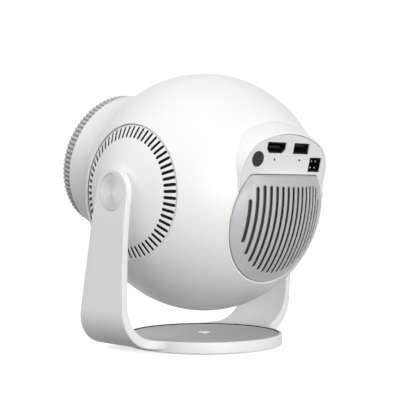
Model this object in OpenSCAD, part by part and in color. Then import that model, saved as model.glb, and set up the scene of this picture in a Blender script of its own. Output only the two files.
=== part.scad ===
// Ball-shaped video projector on a yoke stand.
// Row frame: millimetres, +Z up, lens towards -Y, origin at the mouth of the tripod thread under the base.
// The head is drawn level about its own centre and then pitched about the pivot axis.

/* [Ball head] */
// Outer radius of the ball
ball_r = 80; // [74:0.5:90]
// Wall of the two ball shells
shell_wall = 2.5; // [2:0.1:3.2]
// Upward pitch of the lens in the rest pose, degrees
head_pitch = 14.3; // [0:0.1:30]

/* [Lens barrel] */
// Distance from the ball's centre to the barrel's front edge
barrel_front = 85.5; // [80:0.5:95]
// Outer radius of the barrel at its front edge
barrel_r = 50.2; // [48:0.1:55]
// Flare of the barrel towards the ball, degrees
barrel_draft = 5; // [0:0.5:10]
// Radius of the blend between barrel and ball
barrel_fillet = 10; // [5:0.5:14]
// Wall of the barrel
barrel_wall = 2.4; // [1.8:0.1:3]

/* [Focus ring] */
// Length of the ribbed ring along the lens axis
ring_len = 8.7; // [6:0.1:12]
// Radius of the ribs' tips
ring_r = 48.8; // [46:0.1:52]
// Depth of the grooves between the ribs
rib_depth = 0.9; // [0.4:0.1:1.5]
// Number of ribs round the ring
rib_count = 90; // [40:1:120]
// Radial thickness of the ring
ring_wall = 3.8; // [3:0.1:6]
// Gap between the barrel's edge and the ring
ring_gap = 0.5; // [0.3:0.1:1]
// Thickness of the black hood inside the ring
hood_wall = 1.8; // [1.4:0.1:3]
// Number of light-trapping steps in the hood's cone
hood_steps = 10; // [6:1:14]
// Length of the hood's sleeve on the lens tube
sleeve_len = 18; // [10:0.5:22]

/* [Lens] */
// Outer radius of the fixed lens tube
tube_r = 25; // [22:0.5:28]
// Length of the lens tube in front of its flange
tube_len = 25; // [20:0.5:28]
// Bore radius of the lens tube
tube_bore = 21.4; // [19:0.1:22]
// Thickness of the lens tube's flange
flange_t = 3; // [2:0.5:4]
// Length of the sliding lens cell
cell_len = 24.5; // [22:0.5:28]
// Wall of the lens cell round the front lens
cell_wall = 1.9; // [1.5:0.1:3]
// Radius of curvature of the front lens
front_lens_curve = 45; // [35:1:60]
// Thickness of the front lens in the middle
front_lens_t = 9; // [7:0.5:10]
// Radius of curvature of the rear lens
rear_lens_curve = 40; // [30:1:60]
// Thickness of the rear lens in the middle
rear_lens_t = 5.5; // [4.5:0.5:6.5]

/* [Side vents] */
// Radius of the round opening in the ball's side
vent_r = 43.8; // [40:0.1:46]
// Depth of the side panel's crown below the ball's surface
panel_sink = 2.8; // [2.7:0.1:4]
// Depth of the side panel's edge below the ball's surface
panel_inset = 1.7; // [0.5:0.1:2]
// Wall of the side panel
panel_wall = 2; // [1.5:0.1:2.5]
// Width of the panel's flange behind the shell
panel_flange = 3.5; // [2:0.5:5]
// Wall of the rim between the panel's dome and its flange
panel_lip = 1.2; // [1:0.05:1.25]
// Number of radial slots
vent_count = 60; // [30:1:72]
// Width of a radial slot
vent_slot_w = 2; // [1.2:0.1:2.6]
// Length of a radial slot
vent_slot_len = 7.7; // [5:0.1:9]
// Land between the slots and the edge of the opening
vent_land = 1.6; // [1:0.1:3]

/* [Rear hump and port plate] */
// Distance from the ball's centre to the port plate's face
plate_back = 67.2; // [65:0.1:69]
// Half width of the port plate
plate_half_w = 39; // [38:0.1:40.5]
// Height of the port plate's top edge above the lens axis
plate_top = 54.4; // [52.5:0.1:56]
// Radius of the port plate's crowned top edge
plate_crown = 66; // [60:1:72]
// Radius of the port plate's top corners
plate_corner = 21; // [18:0.5:24]
// Thickness of the port plate
plate_t = 2; // [1.5:0.1:2.5]
// Width of the shell's flat rim round the port plate
plate_rim = 1.1; // [0.8:0.1:1.6]
// Width of the shell's flat rim round the grille
grille_rim = 1.5; // [1:0.1:2.5]
// Flare of the hump towards the ball, degrees
hump_draft = 14; // [8:0.5:18]
// Depth of the hump's block, most of it inside the ball
hump_depth = 28; // [24:1:32]
// Height where the hump's straight sides sink into the ball
hump_low = 12; // [10:0.5:13]
// Width of the ledge that the port plate rests on
plate_ledge = 1.4; // [1:0.1:2]

/* [Rear grille] */
// Radius of the round grille
grille_r = 42.1; // [40:0.1:43]
// Height of the grille's straight top edge above the lens axis
grille_top = 28.3; // [26:0.1:30]
// Radius of the grille's two top corners
grille_corner = 4; // [2:0.5:6]
// Wall of the grille
grille_wall = 2.5; // [2:0.1:3]
// Number of grille slots
grille_count = 15; // [9:2:17]
// Spacing of the grille slots
grille_pitch = 4.63; // [4:0.01:5]
// Width of a grille slot
grille_slot_w = 2; // [1.4:0.1:2.6]
// Radius of the round field that the slots fill
grille_field_r = 35.2; // [33:0.1:37]
// Height of the slots' top ends above the lens axis
grille_field_top = 22.9; // [18:0.1:25]
// Thickness of the dust screen behind the grille
screen_t = 0.8; // [0.5:0.1:1.2]

/* [Ports] */
// Height of the two video and data cut-outs' lower edge above the lens axis
port_low = 42.1; // [41.5:0.1:43]
// Height of these two cut-outs
port_h = 7.1; // [6.5:0.1:7.5]
// Width of the video cut-out
video_w = 17.4; // [16:0.1:18]
// Sideways place of the video cut-out
video_x = 12.4; // [11:0.1:14]
// Chamfer of the video cut-out's lower corners
video_chamfer = 2.5; // [1.5:0.1:3]
// Width of the data cut-out
data_w = 15; // [14:0.1:16]
// Sideways place of the data cut-out
data_x = -11.4; // [-13:0.1:-10]
// Width of the power cut-out
power_w = 11.8; // [11:0.1:12.5]
// Height of the power cut-out
power_h = 9.6; // [9:0.1:10]
// Sideways place of the power cut-out
power_x = -27.6; // [-28.5:0.1:-26.5]
// Pitch of the four power pins
pin_pitch = 4.2; // [3.5:0.1:4.6]
// Width of a square power pin
pin_w = 1.1; // [0.8:0.1:1.4]
// Radius of the push button
button_r = 4.8; // [4:0.1:5]
// Sideways place of the push button
button_x = 27.9; // [26:0.1:29]
// Height of the push button above the lens axis
button_z = 38.3; // [36:0.1:39]
// Travel of the push button
button_travel = 1; // [0.5:0.1:1.5]
// Radius of the two pinholes under the ports
pinhole_r = 0.8; // [0.4:0.05:1]
// Drop of the pinholes below the port cut-outs
pinhole_drop = 3.9; // [3:0.1:5]
// Depth of the sockets behind the port plate's face
socket_depth = 12; // [10:0.5:14]
// Wall of the sockets
socket_wall = 0.8; // [0.6:0.1:1]

/* [Light engine] */
// Width of the light engine's housing
engine_w = 66; // [62:1:70]
// Height of the light engine's housing
engine_h = 52; // [50:1:54]
// Length of the light engine's housing
engine_len = 46; // [44:1:48]
// Distance of the housing's front in front of the ball's centre
engine_front = 36; // [34:1:38]
// Wall of the housing
engine_wall = 2; // [1.5:0.1:3]
// Thickness of the light module's board
module_t = 2; // [1.5:0.1:3]
// Radius of the light module's emitter window
emitter_r = 9; // [6:0.5:12]
// Thickness of the image panel
image_panel_t = 3; // [2:0.5:4]
// Thickness of the two flat condenser lenses
condenser_t = 2; // [1.5:0.1:2.5]

/* [Cooling] */
// Thickness of the heat sink's base
sink_base = 4; // [3:0.5:5]
// Length of the heat sink's fins
fin_len = 20; // [18:0.5:22]
// Number of fins
fin_count = 11; // [7:1:13]
// Thickness of a fin
fin_t = 1.5; // [1:0.1:2]
// Width and height of the fan's frame
fan_size = 60; // [56:1:62]
// Depth of the fan's frame
fan_depth = 13; // [12:0.5:14]
// Radius of the fan's air bore
fan_bore = 28; // [25:0.5:28]
// Radius of the fan rotor's hub
fan_hub = 13; // [10:0.5:15]
// Number of fan blades
blade_count = 7; // [5:1:9]
// Radius of the fan's shaft
fan_shaft = 2; // [1.5:0.1:3]

/* [Chassis and board] */
// Thickness of the chassis plate and its side walls
chassis_t = 2.5; // [2:0.1:3]
// Distance from the ball's centre to the chassis walls' outer faces
chassis_x = 59; // [56:0.5:61]
// Half depth of the chassis
chassis_half_d = 27; // [24:0.5:28]
// Height of the chassis walls above the pivot axis
chassis_top = 20; // [16:0.5:24]
// Thickness of the main board
board_t = 1.6; // [1.2:0.1:2]
// Half width of the main board
board_half_w = 36; // [34:0.5:37]
// Radius of the board's posts
post_r = 3.5; // [3:0.1:4]
// Radius of the speaker
speaker_r = 18; // [15:0.5:20]
// Depth of the speaker
speaker_h = 15; // [10:0.5:17]

/* [Pivot] */
// Radius of the pivot shafts' journals
journal_r = 5; // [4:0.1:6]
// Wall of the bushes on the journals
bush_wall = 2.4; // [1.5:0.1:3]
// Wall of the chassis hub round a bush
hub_wall = 2; // [1.5:0.1:2.4]
// Radius of the shaft's shoulder and of the friction washer
shoulder_r = 8.5; // [7.5:0.1:9]
// Thickness of the shaft's shoulder
shoulder_t = 0.9; // [0.6:0.1:1.2]
// Thickness of the friction washer
washer_t = 0.6; // [0.4:0.1:1]
// Radius of the round metal cap on the arm
cap_r = 11.7; // [10:0.1:12]
// Thickness of the metal cap
cap_t = 1.5; // [1:0.1:2]

/* [Yoke and base] */
// Height of the pivot axis above the table
pivot_h = 103; // [101:0.5:120]
// Gap between the side panel's crown and the arm
arm_gap = 0.6; // [0.4:0.1:2]
// Thickness of the arms
arm_t = 4.4; // [4:0.1:6]
// Width of an arm at the pivot
arm_top_w = 30.2; // [28:0.2:34]
// Forward lean of an arm's front edge, in degrees
arm_front_lean = 13.8; // [8:0.2:16]
// Forward lean of an arm's rear edge just below the pivot, in degrees
arm_rear_lean = 9.6; // [7:0.2:11]
// Radius of the hollow sweep of an arm's rear edge
arm_hollow_r = 480; // [400:5:600]
// Distance that an arm leans in towards the base
arm_set_in = 2.4; // [0.5:0.1:3]
// Thickness of an arm where it runs into the base
arm_foot_t = 5.5; // [4.5:0.1:7]
// Outer radius of the bend between arm and base
bend_r = 26; // [20:0.5:28]
// Inner radius of the bend, where the arm runs out level with the base
knee_r = 24; // [18:0.5:25]
// Radius of the base disc
base_r = 53; // [50:0.5:57]
// Thickness of the base disc
base_t = 7.2; // [6:0.1:9]
// Bevel round the top of the base disc
base_bevel = 1.2; // [0.5:0.1:2]
// Width of the base's rim round the inlaid pad
base_rim = 2.4; // [2:0.1:4]
// Thickness of the inlaid pad
pad_t = 1.2; // [0.8:0.1:2]
// Depth of the pad below the rim
pad_sink = 0.2; // [0.1:0.05:0.5]
// Inner radius of the rubber foot ring
foot_in = 40; // [30:0.5:43]
// Width of the rubber foot ring
foot_w = 8; // [4:0.5:9]
// Height of the foot ring below the base
foot_proud = 0.8; // [0.5:0.1:1.5]
// Depth of the foot ring's groove
foot_groove = 1; // [0.6:0.1:1.5]
// Radius of the tripod thread
thread_r = 3.175; // [2.5:0.005:4.8]
// Depth of the tripod thread
thread_depth = 6; // [5:0.1:6.5]
// Radius of the tripod insert's visible top
insert_top_r = 4.7; // [4:0.1:6]

/* [Hidden] */
$fn = 96;
// Clearance of pieces that are set into each other
set_gap = 0.15;
// Radial clearance of a running fit
run_gap = 0.08;
// Gap round a visible inset
seam_gap = 0.3;
// Small undercut where a flat meets a round, so that they cross and don't just touch
bite = 0.05;
// Length of a cutter that passes right through
through = 3 * ball_r;

// Ball and barrel
shell_in = ball_r - shell_wall;
barrel_k = barrel_r * cos(barrel_draft) + barrel_front * sin(barrel_draft);
fillet_out = barrel_k + barrel_fillet - bite;
fillet_ball = ball_r + barrel_fillet - bite;
fillet_along = sqrt(fillet_ball * fillet_ball - fillet_out * fillet_out);
fillet_c = [
    fillet_out * cos(barrel_draft) - fillet_along * sin(barrel_draft),
    fillet_out * sin(barrel_draft) + fillet_along * cos(barrel_draft)
];
barrel_root = barrel_r + barrel_front * tan(barrel_draft);

// Focus ring and lens, as distances in front of the ball's centre
ring_back = barrel_front + ring_gap;
ring_front = ring_back + ring_len;
ring_in = ring_r - ring_wall;
tube_back = engine_front + flange_t;
tube_front = tube_back + tube_len;
sleeve_bore = tube_r + run_gap;
sleeve_r = sleeve_bore + hood_wall;
sleeve_over = 4;
sleeve_front = tube_front + sleeve_over;
sleeve_back = sleeve_front - sleeve_len;
cell_r = tube_bore - run_gap;
cell_bore = cell_r - cell_wall;
cell_setback = 6.5;
cell_back = tube_back + cell_setback;
cell_front = cell_back + cell_len;
lens_seat_depth = 14.5;
lens_seat = cell_back + lens_seat_depth;
rear_seat_depth = 1;
rear_seat = cell_back + rear_lens_t + rear_seat_depth;
rear_ledge = 2.8;
rear_lens_r = cell_bore - rear_ledge;
front_lens_r = cell_bore - set_gap;
retainer_wall = 1.8;
retainer_in = front_lens_r - retainer_wall;
front_lens_c = lens_seat + front_lens_t - front_lens_curve;
retainer_rise = sqrt(front_lens_curve * front_lens_curve - retainer_in * retainer_in);
retainer_back = front_lens_c + retainer_rise + set_gap;
retainer_len = 1.5;

// Side panels and pivots, as distances from the middle plane
panel_r = ball_r - panel_sink;
panel_in = panel_r - panel_wall;
panel_edge = vent_r - seam_gap;
panel_rise = panel_r + panel_inset - sqrt(ball_r * ball_r - vent_r * vent_r);
panel_curve = (panel_edge * panel_edge + panel_rise * panel_rise) / (2 * panel_rise);
arm_in = panel_r + arm_gap;
arm_out = arm_in + arm_t;
shoulder_in = arm_in - shoulder_t;
washer_in = shoulder_in - washer_t - bite;
hub_out = washer_in - bite;
bush_r = journal_r + run_gap + bush_wall;
bush_len = 14;
hub_r = bush_r + bite + hub_wall;
bush_out = hub_out - bite;
bush_in = bush_out - bush_len;
clip_groove = 1;
clip_gap = 0.4;
clip_x = bush_in - clip_gap - clip_groove;
clip_depth = 0.8;
clip_wall = 2.2;
journal_end = 1.2;
journal_in = clip_x - journal_end;
hub_clear = 0.6;
spigot_step = 0.9;
spigot_r = journal_r + spigot_step;
cap_floor = arm_out - cap_t - bite;

// Rear hump, plate and grille
plate_cx = plate_half_w - plate_corner;
plate_mid = plate_top - plate_crown;
plate_cz = plate_mid + sqrt(pow(plate_crown - plate_corner, 2) - plate_cx * plate_cx);
hump_flare = hump_depth * tan(hump_draft);
hump_over = 2;
plate_low = 18;
grille_in = ball_r - grille_wall;
grille_lip = 2.5;
screen_r = grille_r - grille_lip - set_gap;
screen_out = grille_in - set_gap;
grille_step = 2;
screen_top = grille_top - grille_step - set_gap;
rim_r = grille_r + seam_gap + grille_rim;

// Ports
port_mid = port_low + port_h / 2;
board_top = port_low;
board_low = board_top - board_t;
power_top = board_low - seam_gap;
power_mid = power_top - power_h / 2;
socket_recess = 0.5;
socket_face = plate_back - socket_recess;
socket_back = plate_back - socket_depth;
tongue_t = 1.6;
tongue_recess = 2;
tongue_face = socket_face - tongue_recess;
pin_recess = 4.9;
pin_face = socket_face - pin_recess;
pin_tail = 1.5;
button_proud = 0.6;
button_face = plate_back + button_proud;
button_flange_w = 1.3;
button_flange_r = button_r + button_flange_w;
button_flange_t = 1.5;
button_flange_y = plate_back - plate_t - seam_gap;
stem_r = 1.5;
switch_w = 6.5;
switch_gap = 1.5;
switch_face = button_flange_y - button_flange_t - button_travel - switch_gap;
switch_len = 6;
stem_in = 3;

// Light engine and cooling, as distances behind the ball's centre
engine_back = engine_len - engine_front;
engine_low = -engine_h / 2;
module_back = engine_back + module_t;
sink_back = module_back + sink_base;
fin_back = sink_back + fin_len;
fan_back = fin_back + fan_depth;
sink_w = fan_size - 4;
engine_in_w = engine_w - 2 * engine_wall;
engine_in_h = engine_h - 2 * engine_wall;
corner_post = 3.5;
corner_len = 8;
screw_r = 1.3;
screw_head_r = 2.4;
screw_head_t = 1.6;
post_screw_len = 10;
board_screw_len = 5;
screw_tip_gap = 2;
corner_inset = 2;
field_depth = 4;
image_depth = 10;
collimator_depth = 18;
module_margin_x = 6;
module_margin_z = 4;
fan_screw_pitch = fan_size - 8;
rotor_gap = 1.5;
rotor_len = fan_depth - 2 * rotor_gap - 2;
blade_t = 1.4;
blade_pitch = 35;

// Chassis and board posts
chassis_low = engine_low - chassis_t;
shell_post_x = 40;
shell_post_y = 18;
shell_post_r = 5;
board_post_x = engine_w / 2 - 6;
board_post_front = -engine_front + 7;
board_post_back = engine_back - 6;

// Yoke and base
base_low = foot_proud;
base_top = base_low + base_t;
pad_r = base_r - base_rim;
pad_floor = base_top - pad_sink - pad_t;
insert_r = thread_r + 1.8;
insert_flange_r = insert_r + 2;
insert_flange_t = foot_proud + foot_groove;

// Places the head's own frame: lens along -Y, up along +Z, pivot axis along X.
module on_head() {
    translate([0, 0, pivot_h]) rotate([-head_pitch, 0, 0]) children();
}

// Turns a shape drawn along +Z to run forwards along the lens axis from a distance in front of the centre.
module forward(start) {
    translate([0, -start, 0]) rotate([90, 0, 0]) children();
}

// Turns an outline drawn as width and height into a slab from one distance behind the centre to another.
module slab(from, to) {
    translate([0, to, 0]) rotate([90, 0, 0]) linear_extrude(to - from) children();
}

// Turns a shape drawn along +Z to run along +X.
module along_x(start) {
    translate([start, 0, 0]) rotate([0, 90, 0]) children();
}

module both_sides() {
    children();
    mirror([1, 0, 0]) children();
}

// A ring about +Z.
module ring(outer, inner, height) {
    difference() {
        cylinder(h = height, r = outer);
        translate([0, 0, -1]) cylinder(h = height + 2, r = inner);
    }
}

// A pan-head screw along +Z with its seat at zero and its head above.
module screw(length) {
    translate([0, 0, -length]) cylinder(h = length + 0.1, r = screw_r);
    cylinder(h = screw_head_t, r = screw_head_r);
}

// Rear half space of the head.
module rear_space() {
    translate([-through / 2, 0, -through / 2]) cube(through);
}

// Cutter for the round openings in both sides of the ball.
module vent_openings() {
    both_sides() along_x(ball_r / 4) cylinder(h = ball_r, r = vent_r);
}

// Posts inside the ball's lower half that carry the chassis.
module shell_posts(side) {
    for (x = [-shell_post_x, shell_post_x]) {
        intersection() {
            sphere(shell_in + shell_wall / 2);
            translate([x, side * shell_post_y, -ball_r]) difference() {
                cylinder(h = ball_r + chassis_low, r = shell_post_r);
                translate([0, 0, ball_r + chassis_low - post_screw_len - screw_tip_gap])
                    cylinder(h = ball_r, r = screw_r + bite);
            }
        }
    }
}

// Half section of the ball with its barrel, as radius and distance in front of the centre.
module front_section(sink, wall) {
    circle(ball_r - sink, $fn = 180);
    polygon([
        [0, 0],
        [barrel_root - wall, 0],
        [barrel_r - wall, barrel_front],
        [0, barrel_front]
    ]);
}

// Concave blend between the ball and the barrel.
module barrel_blend() {
    on_ball = fillet_c * (ball_r / norm(fillet_c));
    on_barrel = fillet_c - barrel_fillet * [cos(barrel_draft), sin(barrel_draft)];
    difference() {
        polygon([on_ball * 0.99, on_ball, fillet_c, on_barrel, on_barrel * 0.99]);
        translate(fillet_c) circle(barrel_fillet);
    }
}

module front_shell() {
    color("white") on_head() {
        difference() {
            forward(0) rotate_extrude($fn = 180) intersection() {
                difference() {
                    union() {
                        front_section(0, 0);
                        barrel_blend();
                    }
                    front_section(shell_wall, barrel_wall);
                    translate([-1, barrel_front - 1]) square([barrel_r - barrel_wall + 1, 2]);
                }
                square([ball_r + 1, barrel_front + 1]);
            }
            vent_openings();
        }
        shell_posts(-1);
    }
}

// Wedge from the centre of the plate's crown, out through the centres of its two corners.
module crown_wedge() {
    reach = 2;
    polygon([
        [0, plate_mid],
        [reach * plate_cx, plate_mid + reach * (plate_cz - plate_mid)],
        [-reach * plate_cx, plate_mid + reach * (plate_cz - plate_mid)]
    ]);
}

// Outline of the port plate, wider all round by grow, as width and height.
module plate_outline(grow, low) {
    r = plate_corner + grow;
    for (side = [-1, 1]) translate([side * plate_cx, plate_cz]) circle(r);
    intersection() {
        translate([0, plate_mid]) circle(plate_crown + grow - bite);
        crown_wedge();
    }
    half = plate_cx + r - bite;
    translate([-half, low]) square([2 * half, plate_cz - low]);
}

// The hump as two flared round corners, a flared crown and sloping sides, cut off flat later.
module hump(grow) {
    y_back = plate_back + hump_over;
    y_front = plate_back - hump_depth;
    r_back = plate_corner + plate_rim + grow - hump_over * tan(hump_draft);
    r_front = plate_corner + plate_rim + grow + hump_flare;
    for (side = [-1, 1]) {
        translate([side * plate_cx, y_back, plate_cz]) rotate([90, 0, 0])
            cylinder(h = y_back - y_front, r1 = r_back, r2 = r_front);
    }
    crown_more = plate_crown - plate_corner - bite;
    translate([0, y_back, 0]) rotate([90, 0, 0]) intersection() {
        translate([0, plate_mid, 0])
            cylinder(h = y_back - y_front, r1 = r_back + crown_more, r2 = r_front + crown_more, $fn = 180);
        linear_extrude(y_back - y_front) crown_wedge();
    }
    half_back = plate_cx + r_back - bite;
    half_front = plate_cx + r_front - bite;
    translate([0, 0, hump_low]) linear_extrude(plate_cz - hump_low) polygon([
        [-half_back, y_back],
        [half_back, y_back],
        [half_front, y_front],
        [-half_front, y_front]
    ]);
}

// The low round collar on which the shell's flat rim goes on round the grille.
module collar() {
    y_back = plate_back + hump_over;
    forward(-y_back) cylinder(
        h = hump_depth,
        r1 = rim_r - hump_over * tan(hump_draft),
        r2 = rim_r + (hump_depth - hump_over) * tan(hump_draft)
    );
}

// Outline of the grille, wider all round by grow, as width and height.
module grille_outline(grow) {
    corner_x = sqrt((grille_r - grille_top) * (grille_r + grille_top - 2 * grille_corner));
    corner_z = grille_top - grille_corner;
    reach = 2 * (grille_corner + grow) / (grille_r - grille_corner);
    difference() {
        intersection() {
            circle(grille_r + grow);
            translate([-ball_r, -ball_r]) square([2 * ball_r, ball_r + grille_top + grow]);
        }
        for (side = [-1, 1]) translate([side * corner_x, corner_z]) difference() {
            polygon([
                [0, 0],
                [0, reach * grille_r],
                [side * reach * grille_r, reach * grille_r],
                [side * reach * corner_x, reach * corner_z]
            ]);
            circle(grille_corner + grow + bite);
        }
    }
}

module rear_shell() {
    color("white") on_head() {
        difference() {
            union() {
                intersection() {
                    sphere(ball_r, $fn = 180);
                    rear_space();
                }
                hump(0);
                collar();
            }
            sphere(shell_in, $fn = 180);
            hump(-plate_rim - plate_ledge);
            slab(plate_back, ball_r + 1) square(3 * ball_r, center = true);
            slab(plate_back - plate_t, ball_r + 1) plate_outline(set_gap, plate_low - set_gap);
            slab(ball_r / 2, ball_r + 1) grille_outline(seam_gap);
            vent_openings();
        }
        shell_posts(1);
    }
}

// Outline of one radial slot with rounded ends, lying along +X.
module vent_slot() {
    half = vent_slot_w / 2;
    slot_out = vent_r - vent_land - half;
    slot_in = slot_out - vent_slot_len + vent_slot_w;
    translate([slot_in, -half]) square([slot_out - slot_in, vent_slot_w]);
    for (x = [slot_in, slot_out]) translate([x, 0]) circle(half, $fn = 24);
}

// Section of the side panel: a shallow dome, a short rim at its edge and a flange behind the shell.
module panel_section() {
    bore = hub_r + hub_clear;
    rim = panel_edge - panel_lip;
    intersection() {
        translate([0, panel_r - panel_curve]) difference() {
            circle(panel_curve, $fn = 180);
            circle(panel_curve - panel_wall, $fn = 180);
        }
        translate([bore, 0]) square([panel_edge - bore, ball_r]);
    }
    difference() {
        intersection() {
            translate([0, panel_r - panel_curve]) circle(panel_curve - bite, $fn = 180);
            translate([rim, 0]) square([panel_lip, ball_r]);
        }
        circle(panel_in, $fn = 180);
    }
    difference() {
        intersection() {
            circle(panel_r, $fn = 180);
            translate([rim + bite, 0]) square([vent_r + panel_flange - rim - bite, ball_r]);
        }
        circle(panel_in + bite, $fn = 180);
    }
}

// A round convex panel with a hub hole and a ring of radial slots, on the +X side.
module vent_panel() {
    along_x(0) difference() {
        rotate_extrude($fn = 180) panel_section();
        for (i = [0 : vent_count - 1]) {
            rotate([0, 0, (i + 0.5) * 360 / vent_count])
                translate([0, 0, ball_r / 2]) linear_extrude(ball_r / 2) vent_slot();
        }
    }
}

module vent_panel_right() {
    color("gainsboro") on_head() vent_panel();
}

module vent_panel_left() {
    color("gainsboro") on_head() mirror([1, 0, 0]) vent_panel();
}

// Cut-out of the video socket, narrower all round by shrink, with its lower corners cut off.
module video_outline(shrink) {
    half = video_w / 2 - shrink;
    low = port_low + shrink;
    high = port_low + port_h - shrink;
    translate([video_x, 0]) polygon([
        [-half, high],
        [half, high],
        [half, low + video_chamfer],
        [half - video_chamfer, low],
        [-half + video_chamfer, low],
        [-half, low + video_chamfer]
    ]);
}

module data_outline(shrink) {
    translate([data_x, port_mid]) square([data_w - 2 * shrink, port_h - 2 * shrink], center = true);
}

module power_outline(shrink) {
    translate([power_x, power_mid]) square([power_w - 2 * shrink, power_h - 2 * shrink], center = true);
}

module port_plate() {
    color("gainsboro") on_head() slab(plate_back - plate_t, plate_back) difference() {
        plate_outline(0, plate_low);
        grille_outline(2 * seam_gap);
        video_outline(0);
        data_outline(0);
        power_outline(0);
        translate([button_x, button_z]) circle(button_r + set_gap);
        for (x = [video_x, data_x]) translate([x, port_low - pinhole_drop]) circle(pinhole_r);
    }
}

// One upright slot of the grille with rounded ends.
module grille_slot(x) {
    reach = sqrt(grille_field_r * grille_field_r - x * x);
    high = min(grille_field_top, reach) - grille_slot_w / 2;
    low = -reach + grille_slot_w / 2;
    half = grille_slot_w / 2;
    arc = [0 : 30 : 180];
    translate([x, 0]) polygon(concat(
        [for (t = arc) [half * cos(t), high + half * sin(t)]],
        [for (t = arc) [-half * cos(t), low - half * sin(t)]]
    ));
}

module rear_grille() {
    color("silver") on_head() difference() {
        union() {
            intersection() {
                sphere(ball_r, $fn = 180);
                slab(ball_r / 2, ball_r) grille_outline(0);
            }
            intersection() {
                sphere(shell_in - set_gap, $fn = 180);
                slab(ball_r / 2, ball_r) intersection() {
                    circle(grille_r + grille_lip);
                    translate([-ball_r, -ball_r]) square([2 * ball_r, ball_r]);
                }
            }
        }
        difference() {
            sphere(grille_in, $fn = 180);
            difference() {
                slab(ball_r / 2, ball_r) difference() {
                    circle(grille_r + 2 * grille_lip);
                    circle(grille_r - grille_lip);
                    translate([-ball_r, 0]) square(2 * ball_r);
                }
                sphere(grille_in - grille_step, $fn = 180);
            }
            slab(plate_back - 2 * plate_t, ball_r)
                translate([-ball_r, grille_top - grille_step]) square([2 * ball_r, grille_step]);
        }
        for (i = [0 : grille_count - 1]) {
            slab(ball_r / 2, ball_r + 1) grille_slot((i - (grille_count - 1) / 2) * grille_pitch);
        }
    }
}

module dust_screen() {
    color("dimgray") on_head() difference() {
        intersection() {
            sphere(screen_out, $fn = 180);
            slab(ball_r / 2, ball_r) intersection() {
                circle(screen_r);
                translate([-ball_r, -ball_r]) square([2 * ball_r, ball_r + screen_top]);
            }
        }
        sphere(screen_out - screen_t, $fn = 180);
    }
}

module chassis() {
    color("darkgray") on_head() difference() {
        union() {
            translate([-chassis_x, -chassis_half_d, chassis_low])
                cube([2 * chassis_x, 2 * chassis_half_d, chassis_t]);
            both_sides() {
                translate([chassis_x - chassis_t, -chassis_half_d, chassis_low])
                    cube([chassis_t, 2 * chassis_half_d, chassis_top - chassis_low]);
                along_x(chassis_x - chassis_t) cylinder(h = hub_out - chassis_x + chassis_t, r = hub_r);
            }
        }
        both_sides() along_x(0) cylinder(h = ball_r, r = bush_r + bite);
        for (x = [-shell_post_x, shell_post_x], y = [-shell_post_y, shell_post_y]) {
            translate([x, y, chassis_low - 1]) cylinder(h = chassis_t + 2, r = screw_r + set_gap);
        }
    }
}

module pivot_bushes() {
    color("goldenrod") on_head() both_sides()
        along_x(bush_in) ring(bush_r, journal_r + run_gap, bush_len);
}

module optical_housing() {
    post_h = board_low - engine_h / 2;
    color("dimgray") on_head() difference() {
        union() {
            translate([-engine_w / 2, -engine_front, engine_low]) cube([engine_w, engine_len, engine_h]);
            for (x = [-board_post_x, board_post_x], y = [board_post_front, board_post_back]) {
                translate([x, y, engine_h / 2]) cylinder(h = post_h, r = post_r);
            }
        }
        difference() {
            translate([-engine_in_w / 2, -engine_front - 1, engine_low + engine_wall])
                cube([engine_in_w, engine_len - engine_wall + 1, engine_in_h]);
            for (x = [-1, 1], z = [-1, 1]) {
                translate([x * engine_in_w / 2, 0, z * engine_in_h / 2]) forward(engine_front - corner_len)
                    cylinder(h = corner_len, r = 2 * corner_post);
            }
        }
        forward(-engine_back - 1) cylinder(h = engine_wall + 2, r = emitter_r + 2);
        for (x = [-1, 1], z = [-1, 1]) {
            translate([x * (engine_in_w / 2 - corner_inset), 0, z * (engine_in_h / 2 - corner_inset)])
                forward(engine_front - corner_len) cylinder(h = corner_len + 1, r = screw_r + bite);
        }
        for (x = [-board_post_x, board_post_x], y = [board_post_front, board_post_back]) {
            translate([x, y, board_low - board_screw_len - 1])
                cylinder(h = board_screw_len + 2, r = screw_r + bite);
        }
    }
}

module lens_tube() {
    color("dimgray") on_head() difference() {
        union() {
            translate([-engine_w / 2, -tube_back, engine_low]) cube([engine_w, flange_t, engine_h]);
            forward(tube_back) cylinder(h = tube_len, r = tube_r);
        }
        forward(0) cylinder(h = ball_r, r = tube_bore);
        for (x = [-1, 1], z = [-1, 1]) {
            translate([x * (engine_in_w / 2 - corner_inset), 0, z * (engine_in_h / 2 - corner_inset)])
                forward(0) cylinder(h = ball_r, r = screw_r + set_gap);
        }
    }
}

// A flat plate that fills the light engine's section, starting at a distance in front of the centre.
module engine_plate(start, thickness) {
    forward(start) linear_extrude(thickness)
        square([engine_in_w - 2 * set_gap, engine_in_h - 2 * set_gap], center = true);
}

module field_lens() {
    color("lightcyan") on_head() engine_plate(engine_front - corner_len - field_depth, condenser_t);
}

module image_panel() {
    color("slategray") on_head() engine_plate(engine_front - corner_len - image_depth, image_panel_t);
}

module collimator_lens() {
    color("lightcyan") on_head() engine_plate(engine_front - corner_len - collimator_depth, condenser_t);
}

module light_module() {
    color("seagreen") on_head() {
        translate([module_margin_x - engine_w / 2, engine_back, engine_low + module_margin_z])
            cube([engine_w - 2 * module_margin_x, module_t, engine_h - 2 * module_margin_z]);
        forward(-engine_back - 0.1) cylinder(h = engine_wall + 2, r = emitter_r);
    }
}

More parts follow.
